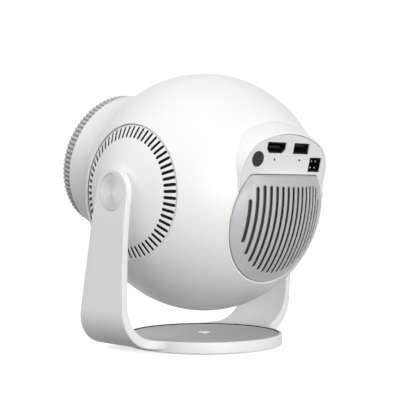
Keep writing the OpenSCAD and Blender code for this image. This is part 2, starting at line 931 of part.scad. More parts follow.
module heat_sink() {
    fin_step = (sink_w - fin_t) / (fin_count - 1);
    color("silver") on_head() difference() {
        union() {
            translate([-sink_w / 2, module_back, engine_low]) cube([sink_w, sink_base, engine_h]);
            for (i = [0 : fin_count - 1]) {
                translate([-sink_w / 2 + i * fin_step, sink_back - 0.5, engine_low])
                    cube([fin_t, fin_len + 0.5, engine_h]);
            }
        }
        for (x = [-1, 1], z = [-1, 1]) {
            translate([x * fan_screw_pitch / 2, 0, z * fan_screw_pitch / 2])
                forward(-fin_back - 1) cylinder(h = fin_len / 2 + 1, r = screw_r + bite);
        }
    }
}

module fan_frame() {
    spoke_w = 4;
    spoke_t = 2;
    color("dimgray") on_head() difference() {
        union() {
            difference() {
                translate([-fan_size / 2, fin_back, -fan_size / 2]) cube([fan_size, fan_depth, fan_size]);
                forward(-fan_back - 1) cylinder(h = fan_depth + 2, r = fan_bore);
            }
            intersection() {
                forward(-fin_back - spoke_t) cylinder(h = spoke_t, r = fan_bore + 1);
                union() {
                    translate([-fan_size / 2, fin_back, -spoke_w / 2]) cube([fan_size, spoke_t, spoke_w]);
                    translate([-spoke_w / 2, fin_back, -fan_size / 2]) cube([spoke_w, spoke_t, fan_size]);
                }
            }
            forward(-fin_back - spoke_t - rotor_len + 1)
                cylinder(h = rotor_len + spoke_t - 1, r = fan_shaft);
        }
        for (x = [-1, 1], z = [-1, 1]) {
            translate([x * fan_screw_pitch / 2, 0, z * fan_screw_pitch / 2])
                forward(-fan_back - 1) cylinder(h = fan_depth + 2, r = screw_r + set_gap);
        }
    }
}

module fan_rotor() {
    rotor_back = fan_back - rotor_gap;
    blade_w = (rotor_len - 2) / cos(blade_pitch);
    color("black") on_head() difference() {
        union() {
            forward(-rotor_back) cylinder(h = rotor_len, r = fan_hub);
            for (i = [0 : blade_count - 1]) {
                rotate([0, i * 360 / blade_count, 0])
                    translate([fan_hub - 2, rotor_back - rotor_len / 2, 0])
                        rotate([blade_pitch, 0, 0])
                            translate([0, -blade_w / 2, -blade_t / 2])
                                cube([fan_bore - rotor_gap - fan_hub + 1, blade_w, blade_t]);
            }
        }
        forward(-rotor_back + 1.5) cylinder(h = rotor_len, r = fan_shaft + run_gap);
    }
}

module main_board() {
    side_back = 46;
    port_back = plate_back - 6;
    port_side = plate_cx + plate_corner - 7.5;
    button_back = switch_face - 1;
    button_side = button_x - switch_w / 2 - 1.5;
    color("darkgreen") on_head() translate([0, 0, board_low]) difference() {
        linear_extrude(board_t) polygon([
            [-board_half_w, -board_half_w],
            [board_half_w, -board_half_w],
            [board_half_w, side_back],
            [port_side, side_back],
            [port_side, button_back],
            [button_side, button_back],
            [button_side, port_back],
            [-port_side, port_back],
            [-port_side, side_back],
            [-board_half_w, side_back]
        ]);
        for (x = [-board_post_x, board_post_x], y = [board_post_front, board_post_back]) {
            translate([x, y, -1]) cylinder(h = board_t + 2, r = screw_r + set_gap);
        }
    }
}

// Shell of a socket between two distances, open at the rear and closed at its inner end.
module socket_floor(depth) {
    slab(socket_back, socket_back + depth) children();
}

module video_socket() {
    color("black") on_head() {
        slab(socket_back, socket_face) difference() {
            video_outline(set_gap);
            video_outline(set_gap + socket_wall);
        }
        socket_floor(socket_wall) video_outline(set_gap + socket_wall / 2);
        slab(socket_back, tongue_face) translate([video_x, port_mid])
            square([video_w - 6, tongue_t], center = true);
    }
}

module data_socket() {
    color("black") on_head() {
        slab(socket_back, socket_face) difference() {
            data_outline(set_gap);
            data_outline(set_gap + socket_wall);
        }
        socket_floor(socket_wall) data_outline(set_gap + socket_wall / 2);
        slab(socket_back, tongue_face) translate([data_x, port_mid + port_h / 5])
            square([data_w - 4, tongue_t], center = true);
    }
}

module power_socket() {
    color("black") on_head() {
        slab(socket_back, socket_face) difference() {
            power_outline(set_gap);
            power_outline(set_gap + socket_wall);
        }
        socket_floor(2 * socket_wall) difference() {
            power_outline(set_gap + socket_wall / 2);
            power_pin_places() square(pin_w + 2 * bite, center = true);
        }
    }
}

module power_pin_places() {
    for (x = [-1, 1], z = [-1, 1]) {
        translate([power_x + x * pin_pitch / 2, power_mid + z * pin_pitch / 2]) children();
    }
}

module power_pins() {
    color("gold") on_head() slab(socket_back - pin_tail, pin_face)
        power_pin_places() square(pin_w, center = true);
}

module button_switch() {
    color("black") on_head() slab(switch_face - switch_len, switch_face) difference() {
        translate([button_x - switch_w / 2, button_z - switch_w / 2])
            square([switch_w, board_low - button_z + switch_w / 2]);
        translate([button_x, button_z]) circle(stem_r + set_gap);
    }
}

module power_button() {
    color("#404040") on_head() translate([button_x, 0, button_z]) {
        forward(-button_face) cylinder(h = button_face - button_flange_y + 0.5, r = button_r);
        forward(-button_flange_y) cylinder(h = button_flange_t, r = button_flange_r);
        forward(-button_flange_y + button_flange_t - 0.5)
            cylinder(h = button_flange_y - button_flange_t + 0.5 - switch_face + stem_in, r = stem_r);
    }
}

module speaker() {
    magnet_r = speaker_r * 0.6;
    magnet_h = speaker_h * 0.45;
    color("black") on_head() translate([0, 0, chassis_low - speaker_h]) difference() {
        union() {
            cylinder(h = speaker_h - magnet_h + 0.1, r1 = speaker_r, r2 = magnet_r + 2);
            translate([0, 0, speaker_h - magnet_h]) cylinder(h = magnet_h, r = magnet_r);
            cylinder(h = 1.5, r = speaker_r + 1);
        }
        translate([0, 0, -1]) cylinder(h = speaker_h / 2, r1 = speaker_r - 1, r2 = magnet_r / 2);
    }
}

// The ribbed outline of the focus ring.
function rib_point(i) = let (
        phase = i % 4,
        r = phase == 0 || phase == 3 ? ring_r - rib_depth : ring_r,
        t = (floor(i / 4) + [0.02, 0.3, 0.7, 0.98][phase]) * 360 / rib_count
    ) [r * cos(t), r * sin(t)];

module focus_ring() {
    color("darkgray") on_head() forward(ring_back) difference() {
        linear_extrude(ring_len) polygon([for (i = [0 : 4 * rib_count - 1]) rib_point(i)]);
        translate([0, 0, -1]) cylinder(h = ring_len + 2, r = ring_in);
    }
}

module focus_hood() {
    rim_front = ring_front - 0.6;
    rim_back = rim_front - 2 * hood_wall;
    mouth_r = ring_in - hood_wall;
    step_in = (mouth_r - sleeve_bore) / hood_steps;
    step_back = (rim_front - sleeve_front) / hood_steps;
    color("#202020") on_head() forward(0) rotate_extrude() polygon(concat(
        [
            [sleeve_bore, sleeve_front],
            [sleeve_bore, sleeve_back],
            [sleeve_r, sleeve_back],
            [sleeve_r, sleeve_front - hood_wall],
            [ring_in - bite, rim_back],
            [ring_in - bite, rim_front]
        ],
        [for (i = [0 : hood_steps - 1], j = [0, 1])
            [mouth_r - i * step_in, rim_front - (i + j) * step_back]]
    ));
}

module lens_cell() {
    aperture = rear_lens_r - 1.2;
    color("black") on_head() forward(0) rotate_extrude() polygon([
        [rear_lens_r + set_gap, cell_back],
        [cell_r, cell_back],
        [cell_r, cell_front],
        [cell_bore, cell_front],
        [cell_bore, lens_seat],
        [aperture, lens_seat],
        [aperture, rear_seat],
        [rear_lens_r + set_gap, rear_seat]
    ]);
}

module front_lens() {
    color("lightblue") on_head() intersection() {
        forward(lens_seat) cylinder(h = front_lens_t + 1, r = front_lens_r);
        forward(front_lens_c) sphere(front_lens_curve, $fn = 120);
    }
}

module rear_lens() {
    color("lightblue") on_head() intersection() {
        forward(rear_seat - rear_lens_t - 1) cylinder(h = rear_lens_t + 1, r = rear_lens_r);
        forward(rear_seat - rear_lens_t + rear_lens_curve) sphere(rear_lens_curve, $fn = 120);
    }
}

module lens_retainer() {
    color("#303030") on_head() forward(retainer_back) ring(front_lens_r, retainer_in, retainer_len);
}

module chassis_screws() {
    color("silver") on_head()
        for (x = [-shell_post_x, shell_post_x], y = [-shell_post_y, shell_post_y]) {
            translate([x, y, engine_low]) screw(chassis_t + post_screw_len);
        }
}

module board_screws() {
    color("silver") on_head()
        for (x = [-board_post_x, board_post_x], y = [board_post_front, board_post_back]) {
            translate([x, y, board_top]) screw(board_t + board_screw_len);
        }
}

module tube_screws() {
    color("silver") on_head()
        for (x = [-1, 1], z = [-1, 1]) {
            translate([x * (engine_in_w / 2 - corner_inset), 0, z * (engine_in_h / 2 - corner_inset)])
                forward(tube_back) screw(flange_t + corner_len - screw_tip_gap);
        }
}

module fan_screws() {
    color("silver") on_head()
        for (x = [-1, 1], z = [-1, 1]) {
            translate([x * fan_screw_pitch / 2, fan_back, z * fan_screw_pitch / 2])
                rotate([-90, 0, 0]) screw(fan_depth + fin_len / 2 - screw_tip_gap);
        }
}

// A block from the middle plane out, upright at the pivot and leaning in to a rounded lower corner.
module leaning_block(reach, low, high, corner) {
    foot = reach - arm_set_in;
    turn = [foot - corner, low + corner];
    polygon([
        [0, low],
        [turn.x, low],
        turn,
        [foot, turn.y],
        [reach, pivot_h - arm_top_w / 2],
        [reach, high],
        [0, high]
    ]);
    translate(turn) intersection() {
        circle(corner);
        translate([-bite, -2 * corner]) square([3 * corner, 2 * corner + bite]);
    }
}

// Side view of an arm: a round end at the pivot, a straight front edge and a hollow rear edge.
module arm_outline() {
    grip = arm_top_w / 2 - bite;
    hollow = arm_hollow_r + grip;
    rear = [grip * cos(arm_rear_lean), pivot_h - grip * sin(arm_rear_lean)];
    front = [-grip * cos(arm_front_lean), pivot_h + grip * sin(arm_front_lean)];
    translate([0, pivot_h]) circle(arm_top_w / 2);
    difference() {
        polygon([
            front,
            [front.x - front.y * tan(arm_front_lean), 0],
            [rear.x, 0],
            rear
        ]);
        translate([hollow * cos(arm_rear_lean), pivot_h - hollow * sin(arm_rear_lean)])
            circle(arm_hollow_r);
    }
}

// One arm of the yoke with its bend, on the +X side.
module yoke_arm() {
    high = pivot_h + arm_top_w;
    intersection() {
        rotate([90, 0, 0]) linear_extrude(2 * base_r, center = true) difference() {
            leaning_block(arm_out, base_top - arm_foot_t, high, bend_r);
            leaning_block(arm_in, base_top, high + 1, knee_r);
        }
        rotate([90, 0, 90]) linear_extrude(arm_out + 1) arm_outline();
    }
}

module yoke() {
    bottom_bevel = 0.6;
    color("white") difference() {
        union() {
            both_sides() yoke_arm();
            rotate_extrude($fn = 180) polygon([
                [0, base_low],
                [base_r - bottom_bevel, base_low],
                [base_r, base_low + bottom_bevel],
                [base_r, base_top - base_bevel],
                [base_r - base_bevel, base_top],
                [0, base_top]
            ]);
        }
        translate([0, 0, pad_floor]) cylinder(h = base_t, r = pad_r + set_gap, $fn = 180);
        translate([0, 0, base_low - 1])
            ring(foot_in + foot_w + set_gap, foot_in - set_gap, foot_groove + 1);
        translate([0, 0, -1]) cylinder(h = base_top + 2, r = insert_r + bite);
        translate([0, 0, -1]) cylinder(h = insert_flange_t + 1, r = insert_flange_r + bite);
        translate([0, 0, pivot_h]) both_sides() {
            along_x(ball_r / 2) cylinder(h = ball_r, r = spigot_r + bite);
            along_x(cap_floor) cylinder(h = arm_t, r = cap_r + set_gap);
        }
    }
}

module base_pad() {
    color("darkgray") translate([0, 0, pad_floor]) difference() {
        cylinder(h = pad_t, r = pad_r, $fn = 180);
        translate([0, 0, -1]) cylinder(h = pad_t + 2, r = insert_top_r + set_gap);
    }
}

module foot_ring() {
    color("#303030") ring(foot_in + foot_w, foot_in, foot_proud + foot_groove);
}

module tripod_insert() {
    color("silver") difference() {
        union() {
            cylinder(h = insert_flange_t, r = insert_flange_r);
            cylinder(h = pad_floor, r = insert_r);
            cylinder(h = pad_floor + pad_t, r = insert_top_r);
        }
        translate([0, 0, -1]) cylinder(h = thread_depth + 1, r = thread_r);
    }
}

module pivot_cap() {
    translate([0, 0, pivot_h]) along_x(cap_floor) cylinder(h = cap_t, r = cap_r);
}

module pivot_cap_right() {
    color("lightgray") pivot_cap();
}

module pivot_cap_left() {
    color("lightgray") mirror([1, 0, 0]) pivot_cap();
}

// Stepped shaft: spigot in the arm, shoulder against it, journal in the bush, groove for the clip.
module pivot_shaft() {
    translate([0, 0, pivot_h]) along_x(0) rotate_extrude() polygon([
        [0, journal_in],
        [journal_r, journal_in],
        [journal_r, clip_x],
        [journal_r - clip_depth, clip_x],
        [journal_r - clip_depth, clip_x + clip_groove],
        [journal_r, clip_x + clip_groove],
        [journal_r, shoulder_in],
        [shoulder_r, shoulder_in],
        [shoulder_r, arm_in],
        [spigot_r, arm_in],
        [spigot_r, cap_floor],
        [0, cap_floor]
    ]);
}

module pivot_shaft_right() {
    color("gray") pivot_shaft();
}

module pivot_shaft_left() {
    color("gray") mirror([1, 0, 0]) pivot_shaft();
}

module friction_washers() {
    color("beige") translate([0, 0, pivot_h]) both_sides()
        along_x(washer_in + bite) ring(shoulder_r, journal_r + bite, washer_t);
}

module retaining_clips() {
    clip_in = journal_r - clip_depth + bite;
    color("gray") translate([0, 0, pivot_h]) both_sides()
        along_x(clip_x + bite) ring(clip_in + clip_wall, clip_in, clip_groove - 2 * bite);
}

yoke();
base_pad();
foot_ring();
tripod_insert();
pivot_cap_right();
pivot_cap_left();
pivot_shaft_right();
pivot_shaft_left();
friction_washers();
retaining_clips();
front_shell();
rear_shell();
vent_panel_right();
vent_panel_left();
port_plate();
rear_grille();
dust_screen();
chassis();
pivot_bushes();
optical_housing();
lens_tube();
field_lens();
image_panel();
collimator_lens();
light_module();
heat_sink();
fan_frame();
fan_rotor();
main_board();
video_socket();
data_socket();
power_socket();
power_pins();
button_switch();
power_button();
speaker();
focus_ring();
focus_hood();
lens_cell();
front_lens();
rear_lens();
lens_retainer();
chassis_screws();
board_screws();
tube_screws();
fan_screws();
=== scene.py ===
"""Looks of a ball-shaped video projector that tilts in a white yoke stand.

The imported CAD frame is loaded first. The pieces that show are worked out again as numpy surfaces with rounded
edges, each standing for its CAD node, and every other node gets a procedural finish of its own.
Lengths are in millimetres until a mesh is written.
"""

import logging
from dataclasses import dataclass, field
from enum import Enum
from typing import Any, Sequence

import bmesh
import bpy
import numpy as np
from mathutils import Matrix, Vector


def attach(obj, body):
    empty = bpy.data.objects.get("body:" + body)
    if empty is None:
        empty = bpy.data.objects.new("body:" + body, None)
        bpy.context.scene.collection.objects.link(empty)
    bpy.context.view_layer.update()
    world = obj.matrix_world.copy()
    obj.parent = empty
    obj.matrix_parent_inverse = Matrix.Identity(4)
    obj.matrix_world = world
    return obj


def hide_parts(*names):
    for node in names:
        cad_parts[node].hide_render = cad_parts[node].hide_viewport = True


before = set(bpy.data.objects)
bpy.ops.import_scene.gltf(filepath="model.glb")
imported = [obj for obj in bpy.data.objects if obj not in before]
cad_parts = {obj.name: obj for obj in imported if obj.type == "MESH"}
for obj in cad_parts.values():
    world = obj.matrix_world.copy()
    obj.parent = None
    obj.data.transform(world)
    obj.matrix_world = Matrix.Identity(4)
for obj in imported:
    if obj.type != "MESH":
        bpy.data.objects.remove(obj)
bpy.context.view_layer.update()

Array = np.ndarray
Tree = bpy.types.NodeTree
Socket = bpy.types.NodeSocket
MM = 0.001
TINY = 1e-6
LOG = logging.getLogger("projector")
HEAD_PITCH = np.radians(14.3)
LENS_AXIS = (0.0, float(np.cos(HEAD_PITCH)), -float(np.sin(HEAD_PITCH)))
HEAD_TURN = np.array([(1.0, 0.0, 0.0), LENS_AXIS, (0.0, -LENS_AXIS[2], LENS_AXIS[1])])
PIVOT_HEIGHT = 103.0
PIVOT = (0.0, 0.0, PIVOT_HEIGHT)
SIDES = (("right", 1), ("left", -1))
# Points nearer than the weld become one, and edges shorter than a sliver go.
WELD, SLIVER = 0.002, 0.001
# An edge starts to look worn at the first pointiness and is worn by its full share at the second.
WORN_FROM, WORN_TO, WORN_SHARE = 0.54, 0.66, 0.5
# A rounded edge has this many rows of points: on a lip or a small edge, as a rule, and on the base disc.
LIP_ROWS, EDGE_ROWS, BASE_ROWS = 5, 6, 7
# A face lies across the lens axis, and takes no painted groove shade, where its direction has at least this much of
# the axis's.
LEAST_ACROSS = 0.5
# Painted shade: the mid grey that darkens the ribbed ring's grooves.
GROOVE_PAINTED_SHADE = "#84868A"
RELIEF_STRENGTH = 0.6
COAT_ROUGHNESS = 0.08
# A wave texture has about this many waves, and a brick texture this many courses, in one unit of its scale.
WAVES_PER_UNIT, COURSES_PER_UNIT = 3.2, 4


class Body(Enum):
    """The moving bodies that a piece can ride on."""

    STAND = "stand"
    HEAD = "head"
    FOCUS = "focus"
    LENS = "lens"


class Slot(Enum):
    """The record's material slots."""

    SHELL = "shell_white"
    YOKE = "yoke_white"
    PANEL = "panel_white"
    PLATE = "plate_grey"
    GRILLE = "grille_grey"
    SCREEN = "screen_grey"
    RING = "ring_grey"
    CAP = "cap_steel"
    PAD = "pad_grey"
    FOOT = "foot_rubber"
    BLACK = "black_plastic"
    BUTTON = "button_grey"
    LENS = "lens_glass"
    DISPLAY = "display_glass"
    BOARD = "board_green"
    CHASSIS = "chassis_metal"
    STEEL = "steel"
    BRONZE = "bush_bronze"
    PIN = "pin_metal"
    FIBRE = "washer_fibre"


class Pattern(Enum):
    """How a surface was made, which sets the pattern that shows on it."""

    MOULDED = "grain of a spark-eroded mould"
    POWDER = "orange peel of a baked powder coat"
    TURNED = "rings left by a lathe tool"
    WOVEN = "crossed threads"
    CAST = "pits of a casting"
    ETCHED = "copper tracks under solder mask"
    POLISHED = "faint wipe marks on polished glass"


def linear(hex_colour: str) -> tuple[float, float, float, float]:
    """Turns an sRGB hex colour into linear light.

    Args:
        hex_colour: Six hex digits after a hash sign.

    Returns:
        Red, green, blue and an alpha of one.
    """
    parts = np.array([int(hex_colour[i:i + 2], 16) for i in (1, 3, 5)]) / 255
    light = np.where(parts <= 0.04045, parts / 12.92, ((parts + 0.055) / 1.055) ** 2.4)
    return (*light.tolist(), 1.0)


def add(tree: Tree, kind: str, inputs: dict[Any, Any], out: int | str = 0, **settings: Any) -> Socket | None:
    """Adds one node with its settings, its values and its links.

    Args:
        tree: The node tree that takes the node.
        kind: Blender's name for the node type.
        inputs: A value or a source socket for each input, by name or number.
        out: The output that is wanted, by name or number.
        settings: The node's own properties.

    Returns:
        The wanted output, or None from a node without outputs.
    """
    node = tree.nodes.new(kind)
    for name, value in settings.items():
        setattr(node, name, value)
    for socket, source in inputs.items():
        if isinstance(source, Socket):
            tree.links.new(source, node.inputs[socket])
        else:
            node.inputs[socket].default_value = source
    return node.outputs[out] if node.outputs else None


def maths(tree: Tree, operation: str, first: Socket, second: Socket | float = 0.0) -> Socket:
    """Adds one step of arithmetic."""
    return add(tree, "ShaderNodeMath", {0: first, 1: second}, operation=operation)


def ramp(tree: Tree, value: Socket, low: float, high: float, at_low: float, at_high: float) -> Socket:
    """Adds a straight ramp between two values, level beyond them."""
    return add(tree, "ShaderNodeMapRange", {"Value": value, "From Min": low, "From Max": high, "To Min": at_low,
               "To Max": at_high})


def blend(tree: Tree, share: Socket, first: Any, second: str) -> Socket:
    """Adds a mix of a colour with a share of a second one, given in hex."""
    return add(tree, "ShaderNodeMix", {"Factor": share, "A": first, "B": linear(second)}, "Result", data_type="RGBA")


def fresh_tree(owner: bpy.types.Material | bpy.types.World) -> Tree:
    """Turns an owner's nodes on and empties its node tree.

    Args:
        owner: The material or the world.

    Returns:
        The empty node tree.
    """
    owner.use_nodes = True
    owner.node_tree.nodes.clear()
    return owner.node_tree


def put(name: str, data: bpy.types.ID) -> bpy.types.Object:
    """Puts a new object into the scene.

    Args:
        name: The object's name.
        data: Its mesh, lamp or camera.

    Returns:
        The new object.
    """
    thing = bpy.data.objects.new(name, data)
    bpy.context.scene.collection.objects.link(thing)
    return thing


@dataclass(frozen=True)
class Finish:
    """A surface finish: its colours, its gloss and the fine relief that its making leaves.

    The grain and the mottle are real sizes in millimetres. The relief is the grain's height in millimetres. A groove
    gives the distances from the lens axis at which the painted shade in it is full and gone.
    """

    name: str
    slot: Slot
    colour: str
    tint: str
    wear: str
    pattern: Pattern = Pattern.MOULDED
    mottle: float = 45.0
    grain: float = 1.2
    relief: float = 0.012
    roughness: float = 0.5
    swing: float = 0.06
    metallic: float = 0.0
    ior: float = 1.46
    shine: float = 0.5
    clear: float = 0.0
    coat: float = 0.0
    groove: tuple[float, float] | None = None

    def height(self, tree: Tree, place: Socket) -> Socket:
        """Builds the pattern that the making leaves, from 0 to 1.

        Args:
            tree: The material's node tree.
            place: Object coordinates with the pivot at zero.

        Returns:
            The pattern's value.
        """
        scale = 1 / (self.grain * MM)
        wave = {"Vector": place, "Scale": scale / WAVES_PER_UNIT}
        if self.pattern is Pattern.TURNED:
            # Rings about the pivot's axis, which lies along X: bands of the distance from that axis.
            return add(tree, "ShaderNodeTexWave", {**wave, "Distortion": 0.6, "Detail": 2.0}, "Fac",
                       wave_type="RINGS", rings_direction="X")
        if self.pattern is Pattern.WOVEN:
            # Warp and weft are two band patterns at right angles; the higher thread shows.
            warp, weft = (add(tree, "ShaderNodeTexWave", wave, "Fac", bands_direction=way) for way in "XZ")
            return maths(tree, "MAXIMUM", warp, weft)
        if self.pattern is Pattern.ETCHED:
            return add(tree, "ShaderNodeTexBrick", {"Vector": place, "Scale": scale / COURSES_PER_UNIT,
                       "Mortar Size": 0.06}, "Fac", offset=0.3)
        if self.pattern is Pattern.CAST:
            return add(tree, "ShaderNodeTexVoronoi", {"Vector": place, "Scale": scale}, "Distance")
        detail = 1.0 if self.pattern is Pattern.POWDER else 3.0
        return add(tree, "ShaderNodeTexNoise", {"Vector": place, "Scale": scale, "Detail": detail}, "Fac")

    def mottle_and_painted_sheen(self, tree: Tree, place: Socket) -> Socket:
        """Builds the share of the tint, from 0 to 1: a slow mottle, or a painted reflection on a turned face.

        Args:
            tree: The material's node tree.
            place: Object coordinates with the pivot at zero.

        Returns:
            The share of the tint: on a turned face a painted reflection, a fan that comes and goes twice round,
            or else a soft mottle.
        """
        if self.pattern is not Pattern.TURNED:
            return add(tree, "ShaderNodeTexNoise", {"Vector": place, "Scale": 1 / (self.mottle * MM), "Detail": 4.0},
                       "Fac")
        # Painted reflection: lighter and darker sectors twice round, for the fanned highlight of a turned face.
        upright = add(tree, "ShaderNodeMapping", {"Vector": place, "Rotation": (0.0, np.pi / 2, 0.0)})
        angle = add(tree, "ShaderNodeTexGradient", {"Vector": upright}, "Fac", gradient_type="RADIAL")
        fan = maths(tree, "COSINE", maths(tree, "MULTIPLY", angle, 4 * np.pi))
        return ramp(tree, fan, -1.0, 1.0, 0.0, 1.0)

    def sunk(self, tree: Tree, place: Socket, normal: Socket) -> Socket:
        """Finds the grooves of a ribbed ring, where shade is painted: near to the lens axis, and not on a face across
        that axis.

        Args:
            tree: The material's node tree.
            place: Object coordinates with the pivot at zero.
            normal: The surface's direction in object coordinates.

        Returns:
            One in a groove and zero on a rib.
        """
        arm = add(tree, "ShaderNodeVectorMath", {0: place, 1: LENS_AXIS}, operation="CROSS_PRODUCT")
        reach = add(tree, "ShaderNodeVectorMath", {0: arm}, "Value", operation="LENGTH")
        deep = ramp(tree, reach, self.groove[0] * MM, self.groove[1] * MM, 1.0, 0.0)
        along = add(tree, "ShaderNodeVectorMath", {0: normal, 1: LENS_AXIS}, "Value", operation="DOT_PRODUCT")
        side = maths(tree, "LESS_THAN", maths(tree, "ABSOLUTE", along), LEAST_ACROSS)
        return maths(tree, "MULTIPLY", deep, side)

    def material(self) -> bpy.types.Material:
        """Builds the node material: mottled colour or a painted reflection, worn edges, painted shade in grooves,
        uneven gloss and relief.

        Returns:
            The finished material.
        """
        material = bpy.data.materials.new(self.name)
        tree = fresh_tree(material)
        here = add(tree, "ShaderNodeTexCoord", {}, "Object")
        place = add(tree, "ShaderNodeMapping", {"Vector": here, "Location": tuple(-MM * part for part in PIVOT)})
        pattern = self.height(tree, place)
        # The tint comes in as a soft mottle, or on a turned face as a painted reflection.
        shade = blend(tree, self.mottle_and_painted_sheen(tree, place), linear(self.colour), self.tint)
        edge = add(tree, "ShaderNodeNewGeometry", {}, "Pointiness")
        colour = blend(tree, ramp(tree, edge, WORN_FROM, WORN_TO, 0.0, WORN_SHARE), shade, self.wear)
        # Painted shade: the grooves of a ribbed ring are darkened toward a mid grey.
        if self.groove:
            normal = add(tree, "ShaderNodeTexCoord", {}, "Normal")
            colour = blend(tree, self.sunk(tree, place, normal), colour, GROOVE_PAINTED_SHADE)
        gloss = ramp(tree, pattern, 0.0, 1.0, self.roughness - self.swing, self.roughness + self.swing)
        relief = add(tree, "ShaderNodeBump", {"Height": pattern, "Strength": RELIEF_STRENGTH,
                     "Distance": self.relief * MM})
        skin = add(tree, "ShaderNodeBsdfPrincipled", {"Base Color": colour, "Roughness": gloss, "Normal": relief,
                   "Metallic": self.metallic, "IOR": self.ior, "Specular IOR Level": self.shine,
                   "Transmission Weight": self.clear, "Coat Weight": self.coat, "Coat Roughness": COAT_ROUGHNESS})
        add(tree, "ShaderNodeOutputMaterial", {"Surface": skin})
        return material


# What each finish gives the eye stands beside it. Grain finer than about 1 mm is drawn at 1 mm or more, because
# a pixel of the picture covers about 0.7 mm and a finer grain would only flicker.
FINISHES: tuple[Finish, ...] = (
    # Satin moulded ABS: soft white with an even, low gloss and no visible grain from a step away.
    Finish("abs_white_satin_moulded", Slot.SHELL, "#F4F4F3", "#EFEFEE", "#FBFBFA", relief=0.006, roughness=0.46),
    # Powder-coated aluminium: a shade cooler than the shell, with a faint orange peel.
    Finish("aluminium_white_powder_coated", Slot.YOKE, "#F2F2F2", "#EDEDEE", "#FAFAFA", Pattern.POWDER,
           grain=1.6, relief=0.01, roughness=0.42),
    # Moulded ABS side panels: the shell's white from a finer tool.
    Finish("abs_white_fine_moulded", Slot.PANEL, "#F3F3F2", "#EEEEED", "#FBFBFA", relief=0.006, roughness=0.5),
    # Matt moulded ABS: pale grey port plate with almost no gloss.
    Finish("abs_pale_grey_matt_moulded", Slot.PLATE, "#E9E9E9", "#E3E3E4", "#F2F2F2", relief=0.01,
           roughness=0.6),
    # Silver-grey sprayed ABS: grille whose flakes make the gloss uneven.
    Finish("abs_silver_grey_sprayed", Slot.GRILLE, "#BCBEC0", "#B3B5B8", "#CCCED0", Pattern.POWDER, grain=1.1,
           relief=0.008, roughness=0.44, swing=0.09, metallic=0.15),
    # Woven polyester dust screen: dark threads, drawn at 1.6 mm instead of 0.4 mm so that they show.
    Finish("polyester_dust_screen_woven", Slot.SCREEN, "#525356", "#494A4D", "#5C5D60", Pattern.WOVEN, grain=1.6,
           relief=0.12, roughness=0.85),
    # Soft-touch elastomer: pale grey focus ring, matt, with rubbed rib crests and painted shade in the grooves.
    Finish("elastomer_grey_soft_touch", Slot.RING, "#C2C4C5", "#B8BABC", "#D6D8D9", relief=0.015, roughness=0.62,
           groove=(47.95, 48.55)),
    # Turned stainless steel: fine rings, and a painted reflection: its darker tint fans in and out twice round the
    # face.
    Finish("stainless_steel_turned", Slot.CAP, "#C5C5C6", "#A9AAAB", "#D0D1D2", Pattern.TURNED, grain=0.9,
           relief=0.004, roughness=0.3, metallic=1.0, ior=1.5),
    # Moulded silicone: mid grey inlay, dull, with a dusty bloom.
    Finish("silicone_grey_moulded", Slot.PAD, "#D2D2D3", "#CACACB", "#DADADA", relief=0.03, roughness=0.72),
    # Moulded rubber: black foot ring with a dry bloom.
    Finish("rubber_black_moulded", Slot.FOOT, "#26272A", "#313234", "#45464A", relief=0.03, roughness=0.8),
    # Glass-filled black plastic: nearly black with a slight sheen on the edges.
    Finish("nylon_black_glass_filled", Slot.BLACK, "#0E0E0F", "#151516", "#2C2C2E", relief=0.02, roughness=0.5,
           ior=1.2),
    # Moulded keytop: dark grey and satin.
    Finish("polycarbonate_dark_grey_moulded", Slot.BUTTON, "#2A2B2C", "#303132", "#464748", relief=0.01,
           roughness=0.48, ior=1.25),
    # Coated optical glass: smoky violet, because the coating sends little light back out of the black tube.
    Finish("optical_glass_coated", Slot.LENS, "#3A364C", "#333A50", "#4A4860", Pattern.POLISHED, grain=6.0,
           relief=0.0005, roughness=0.02, swing=0.01, ior=1.52, shine=0.3, clear=1.0),
    # Display glass: dark and mirror-like.
    Finish("display_glass_dark", Slot.DISPLAY, "#20242C", "#262A33", "#30343C", Pattern.POLISHED, grain=5.0,
           relief=0.0005, roughness=0.08, swing=0.03, ior=1.52, coat=0.4),
    # Glass-epoxy board: green solder mask over raised copper tracks.
    Finish("glass_epoxy_green_etched", Slot.BOARD, "#1E5A38", "#1A4E31", "#3C7A55", Pattern.ETCHED, grain=2.4,
           relief=0.03, roughness=0.4),
    # Die-cast aluminium: pale metal with small pits.
    Finish("aluminium_die_cast", Slot.CHASSIS, "#B9BBBD", "#A8AAAD", "#D0D2D4", Pattern.CAST, grain=1.5,
           relief=0.02, roughness=0.48, metallic=1.0, ior=1.5),
    # Bright turned steel: screws, shafts and the tripod insert.
    Finish("steel_bright_turned", Slot.STEEL, "#D2D3D5", "#C6C8CA", "#E4E5E6", Pattern.POLISHED, grain=2.0,
           relief=0.003, roughness=0.2, metallic=1.0, ior=1.5),
    # Sintered bronze: brown-gold with open pores.
    Finish("bronze_sintered", Slot.BRONZE, "#9A7443", "#86643A", "#B68C55", Pattern.CAST, grain=1.0, relief=0.015,
           roughness=0.42, metallic=1.0, ior=1.5),
    # Tin-plated brass pins: bright and slightly soft.
    Finish("brass_tin_plated", Slot.PIN, "#98968F", "#8C8A84", "#B0AFAA", Pattern.POLISHED, grain=1.5,
           relief=0.002, roughness=0.24, metallic=1.0, ior=1.5),
    # Pressed fibre washers: dull brown paper.
    Finish("vulcanised_fibre_pressed", Slot.FIBRE, "#8C4B35", "#7D432F", "#A36048", relief=0.03, roughness=0.8),
)


